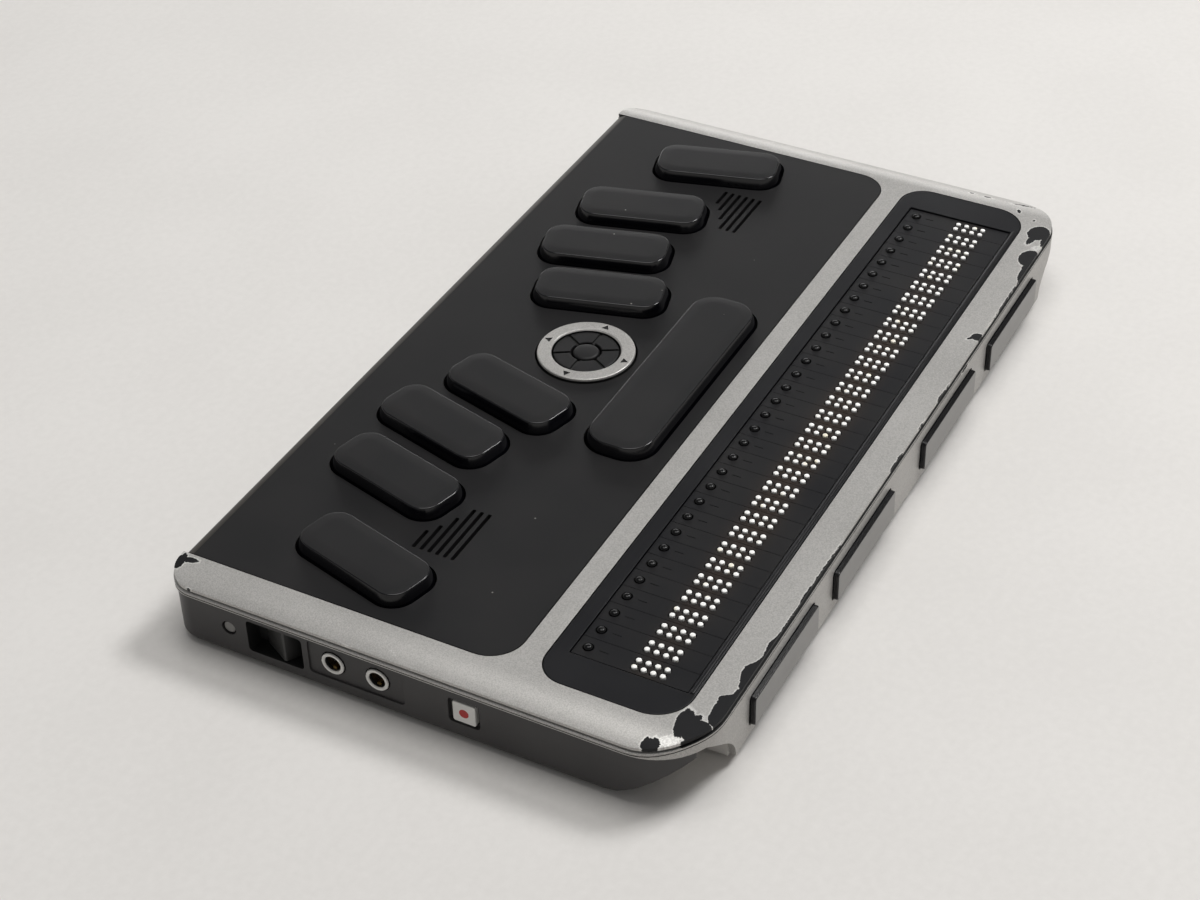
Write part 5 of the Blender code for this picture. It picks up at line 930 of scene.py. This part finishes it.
def key_form(length_x, length_y, corner):
    """A cap from its flange up: skirt, sloping side, rounded edge and crowned top."""
    flange_low, flange_high = 15.1, 16.3
    form = pill(length_x + 4.4, length_y + 4.4, corner + 2.2, (flange_low, flange_high), 12)
    face = facing(form)
    raise_face(form, face, (1.15, 0), (0, TOP - flange_high), (1.0, 2.53))
    arc = [math.radians(18 * i) for i in range(6)]
    edge = [(0.4 * (1 - math.cos(a)), 0.34 * math.sin(a)) for a in arc]
    steps = [(b[0] - a[0], b[1] - a[1]) for a, b in zip(edge, edge[1:])]
    raise_face(form, face, *steps, (0.9, 0.09), (1.0, 0.07), (1.1, 0.05))
    return form


def is_key_top(face):
    return face.normal.z > 0.93 and face.calc_center_median().z > TOP + 1


def make_key(name, size, place):
    """A key's cap: matt on top and glossy at its sides."""
    form = painted(painted(key_form(*size), 1), 0, is_key_top)
    key = piece(name + "_cap", placed(form, place), KEY_MATTE, KEY_GLOSS)
    dress(soften(key, 0, smooth=50), name, "soft_black", name)


def make_keys():
    for name in KEY_SPOTS:
        make_key(name, KEY_SIZE, key_place(name))
    make_key("space_bar", SPACE_SIZE, Matrix.Translation((0, SPACE_Y, 0)))


def round_ring(degrees, out=0):
    """A place on the arrow ring, at a turn about its axis and a distance from it."""
    return Matrix.Translation((0, RING_Y, 0)) @ turn(degrees) @ Matrix.Translation((out, 0, 0))


def make_arrow_ring():
    """The silver ring with its flange, and four arrow marks cut into its face and painted near-black as
    shade.
    """
    top = TOP + 1
    profile = [
        (9.2, top - 0.35), (9.55, top), (12.55, top), (12.9, top - 0.15), (13.05, top - 0.5),
        (13.05, top - 0.7), (13.05, 15.9), (14.2, 15.9), (14.2, 14.9), (10.4, 14.9), (10.4, 16.9),
        (9.2, 16.9),
    ]
    ring = piece("silver_ring", moved(turned(profile, 96, True), 0, RING_Y), RING_SILVER)
    marks = []
    for quarter in range(4):
        mark = rod(0, 0, (top - 0.3, top + 1), 1.2, sides=3)
        marks.append(placed(mark, round_ring(90 * quarter, 11.2) @ turn(-90)))
    # The marks' walls and floors are near-black, as painted shade
    carve(ring, gather(*marks), finish=BLACK_AND_PAINTED_SHADE)
    soften(ring, 0.06)
    # Painted shade: the ring's sides below its rounded top are near-black, so the gaps round it read dark
    repaint(ring, lambda at, normal: at.z < top - 0.72)
    dress(ring, "arrow_ring", "silver_paint", "arrow_ring")


def make_scroll_wheel():
    """The black wheel inside the ring, with six grooves, and the sleeve that it turns on."""
    top = TOP + 0.6
    profile = [
        (4.1, top - 0.25), (4.35, top), (8.3, top), (8.65, top - 0.12), (8.8, top - 0.45), (8.8, 18.2),
        (5.0, 18.2), (5.0, 14.5), (4.1, 14.5),
    ]
    wheel = piece("ribbed_wheel", moved(turned(profile, 96, True), 0, RING_Y), KEY_MATTE)
    grooves = []
    for i in range(6):
        groove = slab((3, 10), (-0.42, 0.42), (top - 0.6, top + 2))
        grooves.append(placed(groove, round_ring(60 * i)))
    # The grooves' walls and floors are near-black, as painted shade
    carve(wheel, gather(*grooves), finish=BLACK_AND_PAINTED_SHADE)
    soften(wheel, 0.1)
    dress(wheel, "scroll_wheel", "soft_black", "scroll_wheel")


def make_select_button():
    """The domed button in the middle of the wheel, with its flange."""
    top = TOP + 0.8
    profile = [
        (0, top), (1.6, top - 0.03), (2.8, top - 0.12), (3.3, top - 0.3), (3.6, top - 0.75), (3.6, 14.2),
        (4.8, 14.2), (4.8, 13.2), (0, 13.2),
    ]
    button = piece("select_dome", moved(turned(profile, 48), 0, RING_Y), KEY_MATTE)
    dress(soften(button, 0, smooth=40), "select_button", "soft_black", "select_button")


def make_thumb_keys():
    """Black blocks whose front faces are painted grey, a reflection of the table. They are formed facing up,
    and then turned to face the user.
    """
    flange_low, flange_high, side_high = 66.105, 67.305, 70.305
    for i, x in enumerate(THUMB_SPOTS):
        form = pill(37.6, 10.5, 1.9, (flange_low, flange_high), 6)
        face = facing(form)
        raise_face(form, face, (1.0, 0), (0, side_high - flange_high))
        raise_face(form, face, (0.1, 0.22), (0.12, 0.12), (0.18, 0.06))
        # The front face gets the grey of the painted reflection, and the sides gloss black
        form = painted(painted(form, 1), 0, lambda f: f.normal.z > 0.8 and f.calc_center_median().z > 70)
        form = placed(form, to_front(x, 0, THUMB_LEVEL))
        key = piece(f"thumb_cap_{i + 1}", form, THUMB_PAINTED_REFLECTION, KEY_GLOSS)
        name = f"thumb_key_{i + 1}"
        dress(soften(key, 0, smooth=40), name, "thumb_grey", name)


def make_jacks():
    """Sockets with a pale ring, a deep bore and a gold spring in it."""
    bore = 2.15
    finishes = (BUTTON_BLACK, JACK_RING, BLACK_AND_PAINTED_SHADE, CONTACT_GOLD, BORE_METAL)
    profile = [
        (3.1, 114), (3.1, WALL - 0.3), (2.95, WALL), (2.3, WALL), (bore, WALL - 0.25), (bore, WALL - 1.2),
        (bore, WALL - 5), (bore, WALL - 9), (0, WALL - 9), (0, 114),
    ]

    def is_bore(face):
        middle = face.calc_center_median()
        return WALL - 5 < middle.z < WALL - 1.2 and middle.xy.length < 2.3

    for name, y in JACK_SPOTS.items():
        body = pill(7, 7, 0.4, (WALL - 12.8, WALL - 2.3), 3)
        nose = painted(turned(profile, 48), 2)
        nose = painted(nose, 1, lambda face: face.calc_center_median().z > WALL - 0.5)
        nose = painted(nose, 4, is_bore)
        spring = gather(
            slab((-0.55, 0.55), (-2.12, -1.45), (WALL - 6, WALL - 0.9), (0.2,) * 4, 3),
            slab((0.9, 1.5), (0.9, 1.45), (WALL - 6, WALL - 1.1), (0.2,) * 4, 3),
        )
        form = placed(gather(body, nose, painted(spring, 3)), to_left(y, JACK_LEVEL))
        thing = piece(name + "_socket", form, *finishes)
        dress(soften(thing, 0, smooth=40), "case", "gloss_black", name)


def make_power_switch():
    """A knob with a sharp ridge that slides in its well."""
    form = bmesh.new()
    outline = [(-4.6, 0), (4.6, 0), (4.6, 0.6), (-2.0, 4.1), (-2.7, 4.1), (-4.6, 1.0)]
    face = form.faces.new([form.verts.new((y, x, 0)) for y, x in outline])
    form.normal_update()
    solid = bmesh.ops.extrude_face_region(form, geom=[face])
    upper = [v for v in solid["geom"] if isinstance(v, bmesh.types.BMVert)]
    height = 8.8
    bmesh.ops.translate(form, vec=(0, 0, height), verts=upper)
    bmesh.ops.recalc_face_normals(form, faces=form.faces)
    knob = placed(form, Matrix.Translation((4.4 - WALL, SWITCH_Y, SWITCH_LEVEL - height / 2)) @ turn(90))
    stem = slab((4.0 - WALL, 6.9 - WALL), (SWITCH_Y - 1.2, SWITCH_Y + 1.2), (8.2, 10.0))
    thing = piece("switch_knob", gather(knob, stem), SWITCH_BLACK)
    dress(soften(thing, 0.12), "power_switch", "gloss_black", "power_switch")


def make_side_buttons():
    """The white record button with its red dot, and the round reset button."""
    low, high = BUTTON_FLANGE
    form = pill(7.8, 7.8, 1.4, BUTTON_FLANGE, 4)
    face = facing(form)
    raise_face(form, face, (0.9, 0), (0, WALL - 0.25 - high), (0.06, 0.16), (0.14, 0.09))
    dot = painted(rod(0, 0, (WALL - 0.6, WALL + 0.06), 1.25, sides=32), 1)
    bevel(dot, facing(dot).edges[:], 0.05, 2)
    form = placed(gather(form, dot), to_left(RECORD_Y, RECORD_LEVEL))
    button = piece("record_cap", form, RECORD_WHITE, RECORD_RED)
    dress(soften(button, 0, smooth=40), "record_button", "record_white", "record_button")
    profile = [
        (0, WALL - 0.25), (1.1, WALL - 0.28), (1.5, WALL - 0.4), (1.7, WALL - 0.7), (1.7, high),
        (2.6, high), (2.6, low), (0, low),
    ]
    form = placed(turned(profile, 40), to_left(RESET_Y, RESET_LEVEL))
    dress(soften(piece("reset_cap", form, RESET_GREY), 0), "reset_button", "tray_black", "reset_button")


def merged_copy(name, label, finish):
    """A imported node's shape with its loose triangles joined, ready for softer edges."""
    form = bmesh.new()
    form.from_mesh(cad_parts[name].data)
    bmesh.ops.remove_doubles(form, verts=form.verts, dist=0.000002)
    bmesh.ops.dissolve_limit(form, angle_limit=math.radians(0.5), verts=form.verts, edges=form.edges)
    bmesh.ops.scale(form, vec=(1 / MM,) * 3, verts=form.verts)
    for face in form.faces:
        face.material_index = 0
    for layer in form.loops.layers.uv.values():
        form.loops.layers.uv.remove(layer)
    return piece(label, form, finish)


def make_tray():
    """The tray and what slides or lifts out of it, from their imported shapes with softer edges."""
    tray = merged_copy("bottom_housing", "black_tray", TRAY_BLACK)
    ends = [(-100, -91), (91, 100)]
    carve(tray, *[slab(x, (FRONT - FAR, FRONT + 2.2), (-FAR, RIM_FOOT - 0.15)) for x in ends])
    soften(tray, angle=50)
    # Painted shade: the tray's upward faces under the rim band are near-black, and so is the well round the
    # power switch
    repaint(tray, lambda at, normal: at.z > RIM_BAND - 0.6 and normal.z > 0.2)
    repaint(tray, lambda at, normal: -121.3 < at.x < -112 and abs(at.y - 40) < 8 and 3.4 < at.z < 15.2)
    dress(tray, "case", "tray_black", "bottom_housing")
    door = merged_copy("battery_cover", "battery_door", TRAY_BLACK)
    dress(soften(door), "case", "tray_black", "battery_cover")
    latch = merged_copy("battery_latch", "latch_slide", TRAY_BLACK)
    dress(soften(latch), "battery_latch", "tray_black", "battery_latch")


def make_feet_and_screws():
    """Round feet, and screws with a cross in their heads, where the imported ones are."""
    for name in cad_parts:
        low, high = (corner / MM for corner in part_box(name))
        x, y = (low.x + high.x) / 2, (low.y + high.y) / 2
        if name.endswith("_foot"):
            profile = [(0, 1.5), (5.0, 1.5), (5.0, 0.5), (4.85, 0.15), (4.5, 0.0), (0, 0.0)]
            foot = soften(piece(name + "_pad", moved(turned(profile, 48), x, y), FOOT_RUBBER), 0, smooth=50)
            dress(foot, "case", "foot_rubber", name)
        if name.endswith("_screw"):
            profile = [(0, high.z), (1.1, high.z), (1.1, 3.2), (2.3, 3.2), (2.3, 1.7)]
            profile += [(2.1, 1.45), (1.6, 1.4), (0, 1.4)]
            screw = piece(name + "_head", moved(turned(profile, 32), x, y), BRIGHT_METAL)
            cross = [slab((x - a, x + a), (y - b, y + b), (0, 2.4)) for a, b in ((1.3, 0.22), (0.22, 1.3))]
            carve(screw, *cross)
            dress(soften(screw, 0.05), "case", "bright_metal", name)


def finish_packed_nodes():
    """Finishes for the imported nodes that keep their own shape."""
    finishes = {
        "board": BOARD_GREEN, "backplane": BOARD_GREEN, "battery_pack": BATTERY_WRAP,
        "speaker": SPEAKER_CLOTH, "cell_block": BLACK_AND_PAINTED_SHADE, "gimbal": BRIGHT_METAL,
        "encoder": BRIGHT_METAL, "port": BRIGHT_METAL, "card_slot": BRIGHT_METAL,
        "power_inlet": BUTTON_BLACK,
    }
    for name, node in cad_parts.items():
        for word, finish in finishes.items():
            if word in name and not node.hide_render:
                node.data.materials.clear()
                node.data.materials.append(finish)


make_top_frame()
make_rim()
make_panel()
make_bezel()
make_cells()
make_combs()
make_keys()
make_arrow_ring()
make_scroll_wheel()
make_select_button()
make_thumb_keys()
make_jacks()
make_power_switch()
make_side_buttons()
make_tray()
make_feet_and_screws()
finish_packed_nodes()


class Backdrop(Finish):
    """The room's light, which is dim overhead and pale at the horizon where it is looked at."""

    def __init__(self, world):
        world.use_nodes = True
        self.tree = world.node_tree
        self.shader = self.tree.nodes["Background"]
        self.spot = self.add("ShaderNodeTexCoord", out="Generated")


def looked_at(finish):
    """1 for what the camera, a reflection or a look through glass sees, and 0 for light on its way."""
    seen = path = finish.add("ShaderNodeLightPath", out="Is Camera Ray")
    for kind in ("Is Glossy Ray", "Is Transmission Ray"):
        seen = seen.most(finish.wire_of(path, kind))
    return seen


def make_table():
    """A pale table top, a little mottled, that fades into the backdrop far from the notetaker."""
    form = bmesh.new()
    bmesh.ops.create_grid(form, x_segments=1, y_segments=1, size=9000)
    table = Finish("pale_table", Specular_IOR_Level=0.2, Emission_Strength=1.0)
    cloud = table.noise(60, 4)
    fibre = table.noise(2.2, 4)
    mottle = table.step(cloud * 0.5 + fibre * 0.5, 0.3, 0.7)
    tone = table.tint(mottle, (0.70, 0.68, 0.655), (0.74, 0.72, 0.695))
    away = table.add("ShaderNodeVectorMath", {"operation": "LENGTH"}, {0: table.spot}, 1)
    far = table.step(away, 0.5, 1.6) * looked_at(table)
    table.set("Base Color", table.tint(far, tone, (0, 0, 0)))
    table.set("Emission Color", table.tint(far, (0, 0, 0), PALE))
    table.set("Roughness", 0.62 + fibre * 0.1)
    piece("table", moved(form, z=-0.05), table.material)


def softbox(name, place, size, power, colour=(1, 1, 1)):
    """A flat lamp that is aimed at the notetaker."""
    lamp = bpy.data.lights.new(name, "AREA")
    lamp.shape = "RECTANGLE"
    lamp.size, lamp.size_y = size
    lamp.energy = power
    lamp.color = colour
    thing = added(name, lamp)
    thing.location = place
    thing.rotation_mode = "QUATERNION"
    thing.rotation_quaternion = (-Vector(place)).to_track_quat("-Z", "Y")


def make_studio():
    """The table, the room's light and three lamps. The window lamp throws the shadow."""
    make_table()
    room = Backdrop(bpy.data.worlds.new("room"))
    height = room.add("ShaderNodeSeparateXYZ", None, {0: room.spot}, 2)
    pale = looked_at(room) * room.step(height, 0.42, 0.12)
    room.set("Color", room.tint(pale, ROOM_LIGHT, PALE))
    bpy.context.scene.world = bpy.data.worlds["room"]
    softbox("ceiling", (0.1, 0.0, 1.6), (1.0, 0.8), 10.5, (1, 0.99, 0.975))
    softbox("window", (0.88, -0.62, 1.45), (0.5, 0.5), 17.5)
    softbox("far_side", (1.6, 0.9, 0.35), (1.2, 0.3), 4.0)


def make_camera():
    """The photograph's view, worked out from the pins and the case's corners."""
    lens = bpy.data.cameras.new("camera")
    lens.sensor_width = 36
    lens.lens = lens.sensor_width * FOCAL_LENGTH / PHOTO_WIDTH
    lens.clip_start = 0.02
    camera = added("camera", lens)
    camera.location = (-0.446567, -0.227294, 0.3936)
    camera.rotation_euler = (math.radians(51.5030), math.radians(1.3147), math.radians(-62.2445))
    bpy.context.scene.camera = camera


make_studio()
make_camera()
bpy.context.scene.view_settings.view_transform = "Standard"
